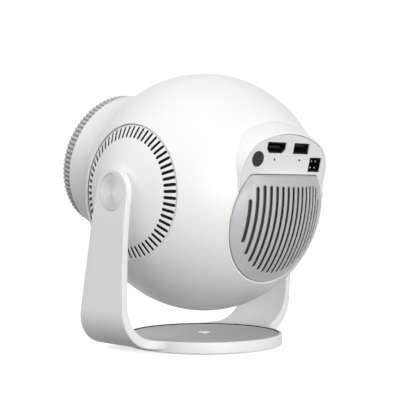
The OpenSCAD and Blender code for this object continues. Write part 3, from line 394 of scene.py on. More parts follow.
@dataclass
class Patch:
    """A grid of points, rows by columns, whose first and last rows or columns may be joined."""

    points: Array
    join_rows: bool = False
    join_columns: bool = False

    def cells(self, start: int) -> Array:
        """Lists the corners of every cell.

        Args:
            start: The number of the grid's first point.

        Returns:
            Four point numbers for each cell.
        """
        rows, columns = self.points.shape[:2]
        number = np.arange(rows * columns).reshape(rows, columns) + start
        if self.join_rows:
            number = np.vstack([number, number[:1]])
        if self.join_columns:
            number = np.hstack([number, number[:, :1]])
        corners = (number[:-1, :-1], number[1:, :-1], number[1:, 1:], number[:-1, 1:])
        return np.stack(corners, axis=-1).reshape(-1, 4)


class Workshop:
    """Turns patches into finished pieces and keeps one material for each slot."""

    def __init__(self) -> None:
        """Builds every finish once."""
        self.materials = {finish.slot: finish.material() for finish in FINISHES}
        self.pieces: list[str] = []

    def piece(self, name: str, patches: Sequence[Patch], body: Body, slot: Slot, stands_for: Sequence[str] = (),
              sharp: float = 32.0) -> None:
        """Writes patches into one mesh, closes its seams and gives it its body and finish.

        Args:
            name: The piece's name.
            patches: The surfaces, in millimetres in the row frame.
            body: The body that carries it.
            slot: Its material slot.
            stands_for: The CAD nodes that it replaces.
            sharp: The angle in degrees past which an edge isn't smoothed.
        """
        starts = np.cumsum([0] + [patch.points.size // 3 for patch in patches])
        points = np.concatenate([patch.points.reshape(-1, 3) for patch in patches]) * MM
        cells = np.concatenate([patch.cells(start) for patch, start in zip(patches, starts)])
        mesh = bpy.data.meshes.new(name)
        mesh.from_pydata(points.tolist(), [], cells.tolist())
        work = bmesh.new()
        work.from_mesh(mesh)
        bmesh.ops.remove_doubles(work, verts=work.verts, dist=WELD * MM)
        bmesh.ops.dissolve_degenerate(work, edges=work.edges, dist=SLIVER * MM)
        bmesh.ops.recalc_face_normals(work, faces=work.faces)
        work.to_mesh(mesh)
        work.free()
        mesh.shade_smooth()
        mesh.set_sharp_from_angle(angle=np.radians(sharp))
        mesh.materials.append(self.materials[slot])
        piece = put(name, mesh)
        if stands_for:
            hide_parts(*stands_for)
        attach(piece, body.value)
        self.pieces.append(name)
        LOG.info("%s: %d faces on %s", name, len(mesh.polygons), body.value)

    def dress_nodes(self) -> None:
        """Gives each CAD node that is left the finish of its own slot."""
        slots = {slot.value: slot for slot in Slot}
        for name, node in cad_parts.items():
            for index, old in enumerate(node.data.materials):
                wanted = slots[old.name.split(".")[0]]
                node.data.materials[index] = self.materials[wanted]
            LOG.info("%s: dressed", name)


def stacked(*parts: Array | float) -> Array:
    """Stacks coordinates into points."""
    return np.stack(np.broadcast_arrays(*parts), axis=-1)


def joined(*parts: Any) -> Array:
    """Joins numbers and rows of numbers end to end."""
    return np.concatenate([np.atleast_1d(part) for part in parts])


def full_turn(count: int) -> Array:
    """Gives equal angles round a circle, without the last."""
    return np.linspace(0, 2 * np.pi, count, endpoint=False)


def head_to_row(points: Array) -> Array:
    """Turns head points, with the lens along -Y, by the rest pitch about the pivot and lifts them to its height."""
    return points @ HEAD_TURN + PIVOT


def quarter(count: int) -> tuple[Array, Array]:
    """Gives a unit quarter round: its inset, one less the sine of the turn, and its drop, one less the cosine."""
    turn = np.linspace(0, np.pi / 2, count)
    return 1 - np.sin(turn), 1 - np.cos(turn)


def lathe(radius: Array, along: Array, turns: Array | int, axis: str, closed: bool = True, head: bool = True,
          at: tuple[float, float, float] = (0.0, 0.0, 0.0)) -> Patch:
    """Carries a profile round an axis: each row is a circle, or a wave on one, at its own place along the axis.

    Args:
        radius: Each row's distance from the axis, or each point's.
        along: Each row's place along the axis, or each point's.
        turns: The columns' angles, or the number of equal steps.
        axis: The letter x, y or z.
        closed: Whether the last row joins the first.
        head: Whether the points are the head's.
        at: A point on the axis.

    Returns:
        The surface, whose last column joins the first.
    """
    turns = full_turn(turns) if isinstance(turns, int) else turns
    radius, along = (part[:, None] if part.ndim == 1 else part for part in (radius, along))
    first, second = radius * np.cos(turns), radius * np.sin(turns)
    order = {"x": (along, first, second), "y": (first, along, second), "z": (first, second, along)}
    points = stacked(*order[axis]) + at
    return Patch(head_to_row(points) if head else points, join_rows=closed, join_columns=True)


def tube(inner: float, outer: float, start: float, end: float, count: int, axis: str, head: bool = True) -> Patch:
    """Carries a rectangle round an axis, between two radii and two places along it."""
    return lathe(joined(inner, outer, outer, inner), joined(start, start, end, end), count, axis, head=head)


def soft_max(first: Array, second: Array | float, reach: float) -> Array:
    """Takes the higher of two heights, raised by a parabola of their difference where they cross within a reach."""
    near = np.maximum(reach - np.abs(first - second), 0) / reach
    return np.maximum(first, second) + near ** 2 * reach / 4


def slot_loop(low: float, high: float, half: float, sides: int, ends: int) -> Array:
    """Goes once round a slot: up one side, round the high end, down the other side and round the low end.

    Args:
        low: The middle of the low end's half circle.
        high: The middle of the high end's.
        half: Half of the width.
        sides: The points on a side.
        ends: The points on an end.

    Returns:
        Points, along the slot and sideways.
    """
    rise = np.linspace(low, high, sides, endpoint=False)
    turn = np.linspace(0, np.pi, ends, endpoint=False)
    along = joined(rise, high + half * np.sin(turn), low + high - rise, low - half * np.sin(turn))
    flat = np.full(sides, half)
    return stacked(along, joined(flat, half * np.cos(turn), -flat, -half * np.cos(turn)))


def lipped(bound: Array, lips: Array, shares: Sequence[float], lip: float, deep: float) -> tuple[Array, Array]:
    """Fills the skin between a bound and a slot: the face, the slot's rounded lip, its wall and the inner face.

    Args:
        bound: Points round the bound.
        lips: The slot's loops down over the lip, in step with the bound.
        shares: The face's rows, from the bound at zero to the lip at one.
        lip: The lip's depth.
        deep: The skin's thickness.

    Returns:
        The loops, and their points' depths below the face.
    """
    face = bound + (lips[0] - bound) * np.array(shares)[:, None, None]
    loops = np.concatenate([face, lips, lips[-1:], bound[None]])
    depth = joined(np.zeros(len(shares)), lip * quarter(len(lips))[1], deep, deep)
    return loops, np.broadcast_to(depth[:, None], loops.shape[:2])


@dataclass
class BallShell:
    """The white ball: a front shell that runs into the lens barrel and a rear shell with the hump.

    Angles called turn are those of the columns about the lens axis.
    """

    ball_r: float = 80.0
    wall: float = 2.5
    vent_r: float = 43.8
    vent_edge: float = 0.5
    vent_ease: float = 12.0
    barrel_front: float = 85.5
    barrel_r: float = 50.2
    barrel_draft: float = np.radians(5)
    barrel_fillet: float = 10.0
    barrel_wall: float = 2.4
    barrel_edge: float = 0.6
    back: float = 67.2
    plate_half_w: float = 39.0
    plate_top: float = 54.4
    plate_crown: float = 66.0
    plate_corner: float = 21.0
    plate_rim: float = 1.1
    collar_draft: float = np.radians(14)
    side_draft: float = np.radians(1)
    top_draft: float = np.radians(16)
    hump_depth: float = 16.0
    hump_low: float = 12.0
    hump_fall: float = 4.0
    hump_soft: float = 1.5
    grille_r: float = 42.1
    grille_rim: float = 1.5
    rim_soft: float = 0.8
    rim_lip: float = 0.3
    seam: float = 0.3
    belt_turn: float = np.radians(54)
    samples: int = 500
    crowding: float = 1.4
    vent_columns: int = 65
    gap_columns: int = 151
    side_rows: int = 9
    fillet_rows: int = 19
    front_rows: int = 34
    rear_rows: int = 22
    brow_rows: int = 14
    hump_rows: int = 44
    wall_rows: int = 12
    bore_rows: int = 5

    def meridians(self) -> Array:
        """Gives the angles of the columns, close together where the vents' edges turn.

        Returns:
            Angles round the axis; those over a vent come from equal steps round the vent's own circle.
        """
        step = np.linspace(-np.pi / 2, np.pi / 2, self.vent_columns)
        reach = np.sqrt(self.ball_r ** 2 - (self.vent_r * np.cos(step)) ** 2)
        vent = np.arcsin(self.vent_r * np.sin(step) / reach)
        half = joined(vent, np.linspace(vent[-1], np.pi - vent[-1], self.gap_columns)[1:-1])
        return joined(half, half + np.pi)

    def vent_line(self, turn: Array, radius: float) -> Array:
        """Gives how far from the middle plane a vent cuts a ball of some radius, or zero beside the vents."""
        inside = self.vent_r ** 2 - (radius * np.sin(turn)) ** 2
        return np.sqrt(np.maximum(inside, 0)) / np.maximum(np.abs(np.cos(turn)), TINY)

    def belt(self, turn: Array) -> tuple[Array, Array]:
        """Works out the rounded edge where a shell ends, at the middle plane or round a vent.

        Args:
            turn: The columns' angles.

        Returns:
            Distances from the axis and along it, from the ball's face over the edge to the inner face.
        """
        inset, drop = quarter(EDGE_ROWS)
        inner_ball = self.ball_r - self.wall
        line, inner = self.vent_line(turn, self.ball_r), self.vent_line(turn, inner_ball)
        soft = self.vent_edge * np.minimum(1, line / self.vent_ease)
        along = np.vstack([line + soft * inset[:, None], inner])
        radius = np.vstack([self.ball_r - soft * drop[:, None], np.full_like(inner, inner_ball)])
        return np.sqrt(radius ** 2 - along ** 2), along

    def barrel_profile(self) -> tuple[Array, Array]:
        """Works out the barrel's front edge, its drafted side and the fillet to the ball.

        The fillet is an arc whose centre lies a fillet radius outside both the cone and the ball.

        Returns:
            Distances from the lens axis and forward along it, front edge first.
        """
        slope = np.tan(self.barrel_draft)
        outward = np.array([np.cos(self.barrel_draft), np.sin(self.barrel_draft)])
        uphill = np.array([-outward[1], outward[0]])
        offset = outward @ [self.barrel_r, self.barrel_front] + self.barrel_fillet
        centre = offset * outward + uphill * np.sqrt((self.ball_r + self.barrel_fillet) ** 2 - offset ** 2)
        cone_end = centre - self.barrel_fillet * outward
        inset, drop = quarter(EDGE_ROWS)
        edge = self.barrel_front - self.barrel_edge * drop
        side = np.linspace(edge[-1], cone_end[1], self.side_rows)[1:]
        arc = np.linspace(np.arctan2(*-outward[::-1]), np.arctan2(*-centre[::-1]), self.fillet_rows)[1:]
        radius = joined(self.barrel_r - self.barrel_edge * inset + (self.barrel_front - edge) * slope,
                        self.barrel_r + (self.barrel_front - side) * slope,
                        centre[0] + self.barrel_fillet * np.cos(arc))
        return radius, joined(edge, side, centre[1] + self.barrel_fillet * np.sin(arc))

    def front(self) -> Patch:
        """Joins the barrel, the ball's front half and the inner wall in one closed skin.

        Returns:
            The skin, as circles about the lens axis bent to the vents' edges.
        """
        turn = self.meridians()
        out_r, out_a = self.barrel_profile()
        belt_r, belt_a = self.belt(turn)
        first, last = np.arctan2(out_r[-1], out_a[-1]), np.arctan2(belt_r[0], belt_a[0])
        polar = np.linspace(first, last, self.front_rows)[1:-1]
        # The inner cone meets the inner ball at the root of a quadratic.
        inner_ball = self.ball_r - self.wall
        slope = np.tan(self.barrel_draft)
        inner_front = self.barrel_r - self.barrel_wall
        base = inner_front + self.barrel_front * slope
        root = 1 + slope ** 2
        meet = (base * slope + np.sqrt((base * slope) ** 2 - root * (base ** 2 - inner_ball ** 2))) / root
        first, last = np.arctan2(belt_r[-1], belt_a[-1]), np.arccos(meet / inner_ball)
        in_polar = np.linspace(first, last, self.wall_rows)[1:]
        bore_a = np.linspace(meet, self.barrel_front, self.bore_rows)[1:]
        bore_r = inner_front + (self.barrel_front - bore_a) * slope
        wide = np.ones((1, turn.size))
        radius = np.vstack([out_r[:, None] * wide, self.ball_r * np.sin(polar), belt_r,
                            inner_ball * np.sin(in_polar), bore_r[:, None] * wide])
        ahead = np.vstack([out_a[:, None] * wide, self.ball_r * np.cos(polar), belt_a,
                           inner_ball * np.cos(in_polar), bore_a[:, None] * wide])
        return lathe(radius, -ahead, turn, "y")

    def plate_middles(self) -> tuple[float, float, float]:
        """Gives the centres of the arcs that bound the plate: a crown and two corners that touch it from inside.

        Returns:
            The height of the crown's centre, and how far across and up a corner's centre lies.
        """
        crown_z = self.plate_top - self.plate_crown
        corner_x = self.plate_half_w - self.plate_corner
        corner_z = crown_z + np.sqrt((self.plate_crown - self.plate_corner) ** 2 - corner_x ** 2)
        return crown_z, corner_x, corner_z

    def opening(self, turn: Array) -> Array:
        """Finds the reach of the hole for the plate and the grille, seen along the lens axis.

        Args:
            turn: The columns' angles.

        Returns:
            The distance from the axis to the farther of the plate's outline and the grille's circle, past the seam.
        """
        across, up = np.abs(np.cos(turn)), np.sin(turn)
        crown_z, corner_x, corner_z = self.plate_middles()
        crown = up * crown_z + np.sqrt((up * crown_z) ** 2 - crown_z ** 2 + (self.plate_crown + self.seam) ** 2)
        toward = across * corner_x + up * corner_z
        inside = toward ** 2 - corner_x ** 2 - corner_z ** 2 + (self.plate_corner + self.seam) ** 2
        corner = toward + np.sqrt(np.maximum(inside, 0))
        beside = (self.plate_half_w + self.seam) / np.maximum(across, TINY)
        on_crown = crown * across * (corner_z - crown_z) <= (crown * up - crown_z) * corner_x
        plate = np.where(on_crown, crown, np.where(beside * up <= corner_z, beside, corner))
        return np.maximum(np.where(up > 0, plate, 0), self.grille_r + self.seam)

    def raised(self, x: Array, z: Array) -> Array:
        """Works out the walls that fall away from the plate and the grille.

        The hump's wall spreads by the side's draft where it faces across, and by the top's where it faces up. The
        change follows the fourth power of how far it faces up. In section the wall is a parabola that leaves the
        rim at a slant and ends upright, so its depth goes with one less the root of what is left of its spread.

        Args:
            x: Places across.
            z: Places up.

        Returns:
            How far back the higher of the grille's collar and the hump lies.
        """
        collar_slope = np.tan(self.collar_draft)
        collar = self.back - (np.hypot(x, z) - self.grille_r - self.seam - self.grille_rim) / collar_slope
        crown_z, corner_x, corner_z = self.plate_middles()
        across, up = np.abs(x), z - crown_z
        on_crown = across * (corner_z - crown_z) <= up * corner_x
        out_x, out_z = across - corner_x, np.maximum(z - corner_z, 0)
        crown, corner = np.hypot(across, up), np.hypot(out_x, out_z)
        away = np.where(on_crown, crown - self.plate_crown, corner - self.plate_corner)
        faces_up = np.where(on_crown, up / np.maximum(crown, TINY), out_z / np.maximum(corner, TINY))
        draft = self.side_draft + (self.top_draft - self.side_draft) * faces_up ** 4
        spread = (away - self.plate_rim) / (self.hump_depth * np.tan(draft))
        depth = self.hump_depth * (1 - np.sqrt(1 - np.clip(spread, -1, 1)) + 2 * np.maximum(spread - 1, 0))
        hump = self.back - depth - self.hump_fall * np.maximum(self.hump_low - z, 0)
        return soft_max(collar, hump, self.hump_soft)

    def crease(self, turn: Array, hole: Array, limit: float) -> Array:
        """Finds where the raised walls meet the ball, seen along the lens axis.

        Args:
            turn: The columns' angles.
            hole: The reach of the opening in each column.
            limit: The reach past which there is only the ball.

        Returns:
            The reach of the last crossing in each column, between its two nearest samples.
        """
        reach = np.linspace(hole, limit, self.samples)
        over = self.raised(reach * np.cos(turn), reach * np.sin(turn)) - np.sqrt(self.ball_r ** 2 - reach ** 2)
        last = self.samples - 2 - np.argmax(over[-2::-1] > 0, axis=0)
        column = np.arange(turn.size)
        high, low = over[last, column], over[last + 1, column]
        return reach[last, column] + (reach[last + 1, column] - reach[last, column]) * high / (high - low)

    def rear(self) -> Patch:
        """Joins the ball's rear half, the hump, the rim round the grille and plate, and the inner wall.

        Returns:
            The skin, as closed lines that pass from the middle plane to the opening's edge.
        """
        turn = self.meridians()
        belt_r, belt_a = self.belt(turn)
        polar = np.linspace(np.arctan2(belt_r[0], belt_a[0]), self.belt_turn, self.rear_rows)[1:]
        hole = self.opening(turn)
        limit = self.ball_r * np.sin(self.belt_turn)
        crease = self.crease(turn, hole, limit)
        # The rows on the ball end at the crease, and those on the walls start there, so that it stays crisp.
        outer = np.linspace(limit, crease, self.brow_rows)[1:]
        inner = hole + (crease - hole) * np.linspace(1, 0, self.hump_rows)[1:, None] ** self.crowding
        wall = self.raised(inner * np.cos(turn), inner * np.sin(turn))
        height = np.vstack([np.sqrt(self.ball_r ** 2 - outer ** 2), -soft_max(-wall, -self.back, self.rim_soft)])
        inner_ball = self.ball_r - self.wall
        first, last = np.arcsin(hole / inner_ball), np.arctan2(belt_r[-1], belt_a[-1])
        in_polar = np.linspace(first, last, self.wall_rows)[1:-1]
        radius = np.vstack([belt_r[::-1], self.ball_r * np.sin(polar), outer, inner, hole, hole,
                            inner_ball * np.sin(in_polar)])
        along = np.vstack([belt_a[::-1], self.ball_r * np.cos(polar), height, height[-1] - self.rim_lip,
                           np.sqrt(inner_ball ** 2 - hole ** 2), inner_ball * np.cos(in_polar)])
        return lathe(radius, along, turn, "y")

    def build(self, shop: Workshop) -> None:
        """Makes the two shells."""
        shop.piece("front_ball_shell", [self.front()], Body.HEAD, Slot.SHELL, ["front_shell"])
        shop.piece("rear_ball_shell", [self.rear()], Body.HEAD, Slot.SHELL, ["rear_shell"], sharp=20)


@dataclass
class VentPanels:
    """The two round side panels: a shallow dome with a ring of radial slots and a dark backing behind them.

    A side is 1 for the right panel and -1 for the left.
    """

    crown: float = 77.2
    curve: float = 85.11
    skin: float = 0.4
    bore: float = 10.13
    field_in: float = 33.2
    field_out: float = 42.7
    edge_r: float = 43.5
    edge: float = 0.3
    flange_r: float = 47.3
    flange_ball: float = 77.2
    flange_t: float = 2.0
    backing_in: float = 0.2
    backing_gap: float = 0.05
    backing_t: float = 0.4
    gasket_gap: float = 0.06
    gasket_t: float = 0.22
    gasket_in: float = 64.0
    gasket_out: float = 65.5
    count: int = 60
    slot_half_w: float = 1.0
    slot_in: float = 35.5
    slot_out: float = 41.2
    lip: float = 0.2
    shares: tuple[float, ...] = (0.0, 0.45, 0.8)
    steps: int = 6
    hub_rows: int = 14
    backing_rows: int = 6
    columns: int = 180

    def sector_loop(self) -> Array:
        """Goes once round a slot's share of the ring, in step with the slot's own loop.

        Returns:
            Points, outward and sideways, on the two radii and the two arcs that bound the share.
        """
        half = np.pi / self.count
        level = np.ones(self.steps)
        rise = np.linspace(self.field_in, self.field_out, self.steps, endpoint=False)
        swing = np.linspace(half, -half, self.steps, endpoint=False)
        out = joined(rise, self.field_out * level, self.field_in + self.field_out - rise, self.field_in * level)
        turn = joined(half * level, swing, -half * level, -swing)
        return stacked(out * np.cos(turn), out * np.sin(turn))

    def dome(self, reach: Array, drop: Array | float) -> Array:
        """Gives the distance from the middle plane of a ball cap, at a reach from the pivot's axis and a depth."""
        return self.crown - self.curve + np.sqrt((self.curve - drop) ** 2 - reach ** 2)

    def on_dome(self, out: Array, up: Array, drop: Array, side: int) -> Array:
        """Lifts flat points, toward the rear and up, to the dome and drops them below its face."""
        return head_to_row(stacked(side * self.dome(np.hypot(out, up), drop), out, up))

    def patches(self, side: int) -> list[Patch]:
        """Builds the slotted ring, one share after another, with the plain dish inside it and the flange outside.

        Args:
            side: The panel's side.

        Returns:
            The panel's surfaces.
        """
        inset, _ = quarter(LIP_ROWS)
        lips = np.stack([slot_loop(self.slot_in, self.slot_out, self.slot_half_w + grow, self.steps, self.steps)
                         for grow in self.lip * inset])
        loops, depth = lipped(self.sector_loop(), lips, self.shares, self.lip, self.skin)
        out, aside = loops[..., 0], loops[..., 1]
        found: list[Patch] = []
        for angle in (np.arange(self.count) + 0.5) * 2 * np.pi / self.count:
            cos, sin = np.cos(angle), np.sin(angle)
            share = self.on_dome(out * cos - aside * sin, out * sin + aside * cos, depth, side)
            found.append(Patch(share, join_columns=True))
        turns = full_turn(self.count * self.steps)
        hub = np.linspace(self.field_in, self.bore, self.hub_rows)
        radius = joined(hub, hub[::-1])
        across = self.dome(radius, np.repeat([0.0, self.skin], hub.size))
        found.append(lathe(radius, side * across, turns, "x", closed=False))
        found.append(self.brim(turns, side))
        return found

    def brim(self, turns: Array, side: int) -> Patch:
        """Carries the panel's edge round the pivot's axis: rounded rim, short wall and the flange behind the shell.

        Args:
            turns: The columns' angles about the pivot's axis.
            side: The panel's side.

        Returns:
            The brim, from the dome's face round to its inner face.
        """
        inset, drop = quarter(LIP_ROWS)
        round_r = self.edge_r - self.edge * inset
        back_r = joined(self.edge_r, self.flange_r, self.flange_r, self.field_out)
        ball = self.flange_ball - self.flange_t * np.array([0, 0, 1, 1])
        across = joined(self.dome(self.field_out, 0), self.dome(round_r[0], 0) - self.edge * drop,
                        np.sqrt(ball ** 2 - back_r ** 2), self.dome(self.field_out, self.skin))
        return lathe(joined(self.field_out, round_r, back_r, self.field_out), side * across, turns, "x", closed=False)

    def backing(self, side: int) -> Patch:
        """Carries a thin dark ring of painted shade round the pivot's axis, just behind the slots.

        Args:
            side: The panel's side.

        Returns:
            The ring's closed skin.
        """
        ends = self.field_in + self.backing_in, self.field_out - self.backing_in
        radii = np.linspace(*ends, self.backing_rows)
        front = self.skin + self.backing_gap
        across = joined(self.dome(radii, front), self.dome(radii, front + self.backing_t)[::-1])
        return lathe(joined(radii, radii[::-1]), side * across, self.columns, "x")

    def build(self, shop: Workshop) -> None:
        """Makes each panel with its painted-shade backing and a dark sleeve of painted shade between panel and shell.

        Args:
            shop: The workshop that makes the pieces.
        """
        inner = self.edge_r + self.gasket_gap
        for word, side in SIDES:
            node = [f"vent_panel_{word}"]
            # Painted shade: a black sleeve in the gap round the panel.
            sleeve = tube(inner, inner + self.gasket_t, side * self.gasket_out, side * self.gasket_in, self.columns,
                          "x")
            shop.piece(f"slotted_side_panel_{word}", self.patches(side), Body.HEAD, Slot.PANEL, node)
            # Painted shade: a black ring behind the slots, for the dark inside of the ball.
            shop.piece(f"side_panel_shade_backing_{word}", [self.backing(side)], Body.HEAD, Slot.BLACK, node)
            shop.piece(f"side_panel_gap_shade_{word}", [sleeve], Body.HEAD, Slot.BLACK)


@dataclass
class RearGrille:
    """The domed grey grille: fifteen upright slots in a disc that is cut straight along its top."""

    dome_r: float = 80.0
    wall: float = 0.7
    disc_r: float = 42.1
    top: float = 28.3
    corner: float = 4.0
    count: int = 15
    pitch: float = 4.63
    half_w: float = 1.15
    field_r: float = 35.2
    field_top: float = 22.9
    lip: float = 0.3
    shares: tuple[float, ...] = (0.0, 0.5)
    edge: float = 0.5
    foot: float = 65.4
    foot_least: float = 0.1
    side_steps: int = 16
    end_steps: int = 6
    bow_steps: int = 13

    def upper(self, x: Array) -> Array:
        """Gives the outline's upper edge over a place across: the straight top, its round corner or the disc.

        Args:
            x: Places across.

        Returns:
            Heights of the outline, drawn in by the edge's round.
        """
        disc, top, corner = self.disc_r - self.edge, self.top - self.edge, self.corner - self.edge
        mid_z = top - corner
        mid_x = np.sqrt((disc - corner) ** 2 - mid_z ** 2)
        wide = np.abs(x)
        bend = mid_z + np.sqrt(np.maximum(corner ** 2 - np.maximum(wide - mid_x, 0) ** 2, 0))
        return np.where(wide < mid_x * disc / (disc - corner), bend, -self.lower(x))

    def lower(self, x: Array) -> Array:
        """Gives the outline's lower edge, the disc's arc drawn in by the edge's round."""
        return -np.sqrt(np.maximum((self.disc_r - self.edge) ** 2 - x ** 2, 0))

    def slot(self, x: float, grow: float) -> Array:
        """Goes once round one slot: up its left side, over the top, down its right side and round the foot.

        Args:
            x: The slot's middle.
            grow: How far its outline is widened.

        Returns:
            Points across and up.
        """
        reach = np.sqrt(self.field_r ** 2 - x ** 2)
        high, low = min(self.field_top, reach) - self.half_w, -reach + self.half_w
        up, aside = slot_loop(low, high, self.half_w + grow, self.side_steps, self.end_steps).T
        return stacked(x - aside, up)

    def strip_loop(self, x: float) -> Array:
        """Goes once round a slot's upright strip of the grille, in step with the slot's own loop.

        Args:
            x: The strip's middle.

        Returns:
            Points across and up, with the outline at its two ends.
        """
        left, right = x - self.pitch / 2, x + self.pitch / 2
        over = np.linspace(left, right, self.end_steps, endpoint=False)
        under = np.linspace(right, left, self.end_steps, endpoint=False)
        level = np.ones(self.side_steps)
        rise = np.linspace(self.lower(left), self.upper(left), self.side_steps, endpoint=False)
        fall = np.linspace(self.upper(right), self.lower(right), self.side_steps, endpoint=False)
        return stacked(joined(left * level, over, right * level, under),
                       joined(rise, self.upper(over), fall, self.lower(under)))

    def dome(self, flat: Array, drop: Array | float) -> Array:
        """Gives how far back the dome lies over flat points, across and up, at a depth below its face."""
        return np.sqrt((self.dome_r - drop) ** 2 - (flat ** 2).sum(-1))

    def on_dome(self, flat: Array, drop: Array | float) -> Array:
        """Lifts flat points to the dome and drops them below its face."""
        return head_to_row(stacked(flat[..., 0], self.dome(flat, drop), flat[..., 1]))

    def patches(self) -> list[Patch]:
        """Builds a strip round each slot, the plain ends beside them and the rounded edge about the whole.

        Returns:
            The grille's surfaces.
        """
        inset, _ = quarter(LIP_ROWS)
        found: list[Patch] = []
        middles = (np.arange(self.count) - (self.count - 1) / 2) * self.pitch
        tops: list[Array] = []
        feet: list[Array] = []
        for x in middles:
            bound = self.strip_loop(x)
            lips = np.stack([self.slot(x, grow) for grow in self.lip * inset])
            found.append(Patch(self.on_dome(*lipped(bound, lips, self.shares, self.lip, self.wall)),
                               join_columns=True))
            tops.append(bound[self.side_steps:self.side_steps + self.end_steps])
            feet.append(bound[-self.end_steps:])
        limit = self.disc_r - self.edge
        swing = np.linspace(np.arccos((middles[-1] + self.pitch / 2) / limit), 0, self.bow_steps)
        share = np.linspace(-1, 1, self.side_steps + 1)
        arcs: list[Array] = []
        for side in (-1, 1):
            x, half = side * limit * np.cos(swing), limit * np.sin(swing)
            flat = stacked(x[:, None], half[:, None] * share)
            found += [Patch(self.on_dome(flat, drop)) for drop in (0.0, self.wall)]
            arcs.append(stacked(joined(x, x[-2::-1]), joined(half, -half[-2::-1])))
        found.append(self.border(np.concatenate([*tops, arcs[1][:-1], *feet[::-1], arcs[0][:0:-1]])))
        return found

    def border(self, rim: Array) -> Patch:
        """Carries the edge's round and the wall below it along the outline.

        Args:
            rim: The outline, drawn in by the edge's round, across and up.

        Returns:
            The border, from the dome's face over the edge and down to the inner face.
        """
        inset, drop = quarter(LIP_ROWS)
        along = np.roll(rim, -1, axis=0) - np.roll(rim, 1, axis=0)
        outward = stacked(-along[:, 1], along[:, 0])
        outward /= np.linalg.norm(outward, axis=-1, keepdims=True)
        flat = rim + outward * (self.edge * (1 - inset))[:, None, None]
        y = self.dome(rim, 0) - self.edge * drop[:, None]
        foot = np.minimum(self.foot, y[-1] - self.foot_least)
        flat = np.concatenate([flat, flat[-1:], rim[None], rim[None]])
        y = np.vstack([y, foot, foot, self.dome(rim, self.wall)])
        return Patch(head_to_row(stacked(flat[..., 0], y, flat[..., 1])), join_columns=True)

    def build(self, shop: Workshop) -> None:
        """Makes the grille."""
        shop.piece("slotted_rear_grille", self.patches(), Body.HEAD, Slot.GRILLE, ["rear_grille"])


@dataclass
class PortDetails:
    """The four square pins in the power inlet, and black sleeves of painted shade in the two pinholes."""

    middle: tuple[float, float] = (-27.6, 35.4)
    pitch: float = 4.2
    half_w: float = 0.55
    chamfer: float = 0.25
    foot: float = 53.7
    tip: float = 66.0
    hole_x: tuple[float, float] = (12.4, -11.4)
    hole_z: float = 38.2
    sleeve_out: float = 0.79
    sleeve_in: float = 0.3
    face: float = 67.18
    sleeve_len: float = 1.9
    funnel: float = 0.2
    columns: int = 24

    def pin(self, x: float, z: float) -> Patch:
        """Builds one pin as square rings from its foot to its chamfered tip.

        Args:
            x: The pin's place across.
            z: Its height above the lens axis.

        Returns:
            The pin's closed skin, whose first and last rings shrink to points.
        """
        corner_x, corner_z = np.array([-1, 1, 1, -1]), np.array([-1, -1, 1, 1])
        half = joined(0, self.half_w, self.half_w, self.half_w - self.chamfer, 0)[:, None]
        back = joined(self.foot, self.foot, self.tip - self.chamfer, self.tip, self.tip)[:, None]
        return Patch(head_to_row(stacked(x + half * corner_x, back, z + half * corner_z)), join_columns=True)

    def sleeve(self, x: float) -> Patch:
        """Carries a sleeve of painted shade round its hole's axis, with a funnel at the face.

        Args:
            x: The hole's place across.

        Returns:
            The sleeve's closed skin.
        """
        radius = joined(self.sleeve_out, self.sleeve_in, self.sleeve_in, self.sleeve_out)
        back = self.face - self.sleeve_len * np.array([0, self.funnel, 1, 1])
        return lathe(radius, back, self.columns, "y", at=(x, 0.0, self.hole_z))

    def build(self, shop: Workshop) -> None:
        """Makes the pins and the sleeves of painted shade.

        Args:
            shop: The workshop that makes the pieces.
        """
        (x, z), reach = self.middle, self.pitch / 2
        pins = [self.pin(x + side * reach, z + level * reach) for side in (-1, 1) for level in (-1, 1)]
        shop.piece("inlet_pins", pins, Body.HEAD, Slot.PIN, ["power_pins"], sharp=25)
        # Painted shade: black sleeves make the two pinholes look deep and dark.
        shop.piece("pinhole_shade_sleeves", [self.sleeve(x) for x in self.hole_x], Body.HEAD, Slot.BLACK)


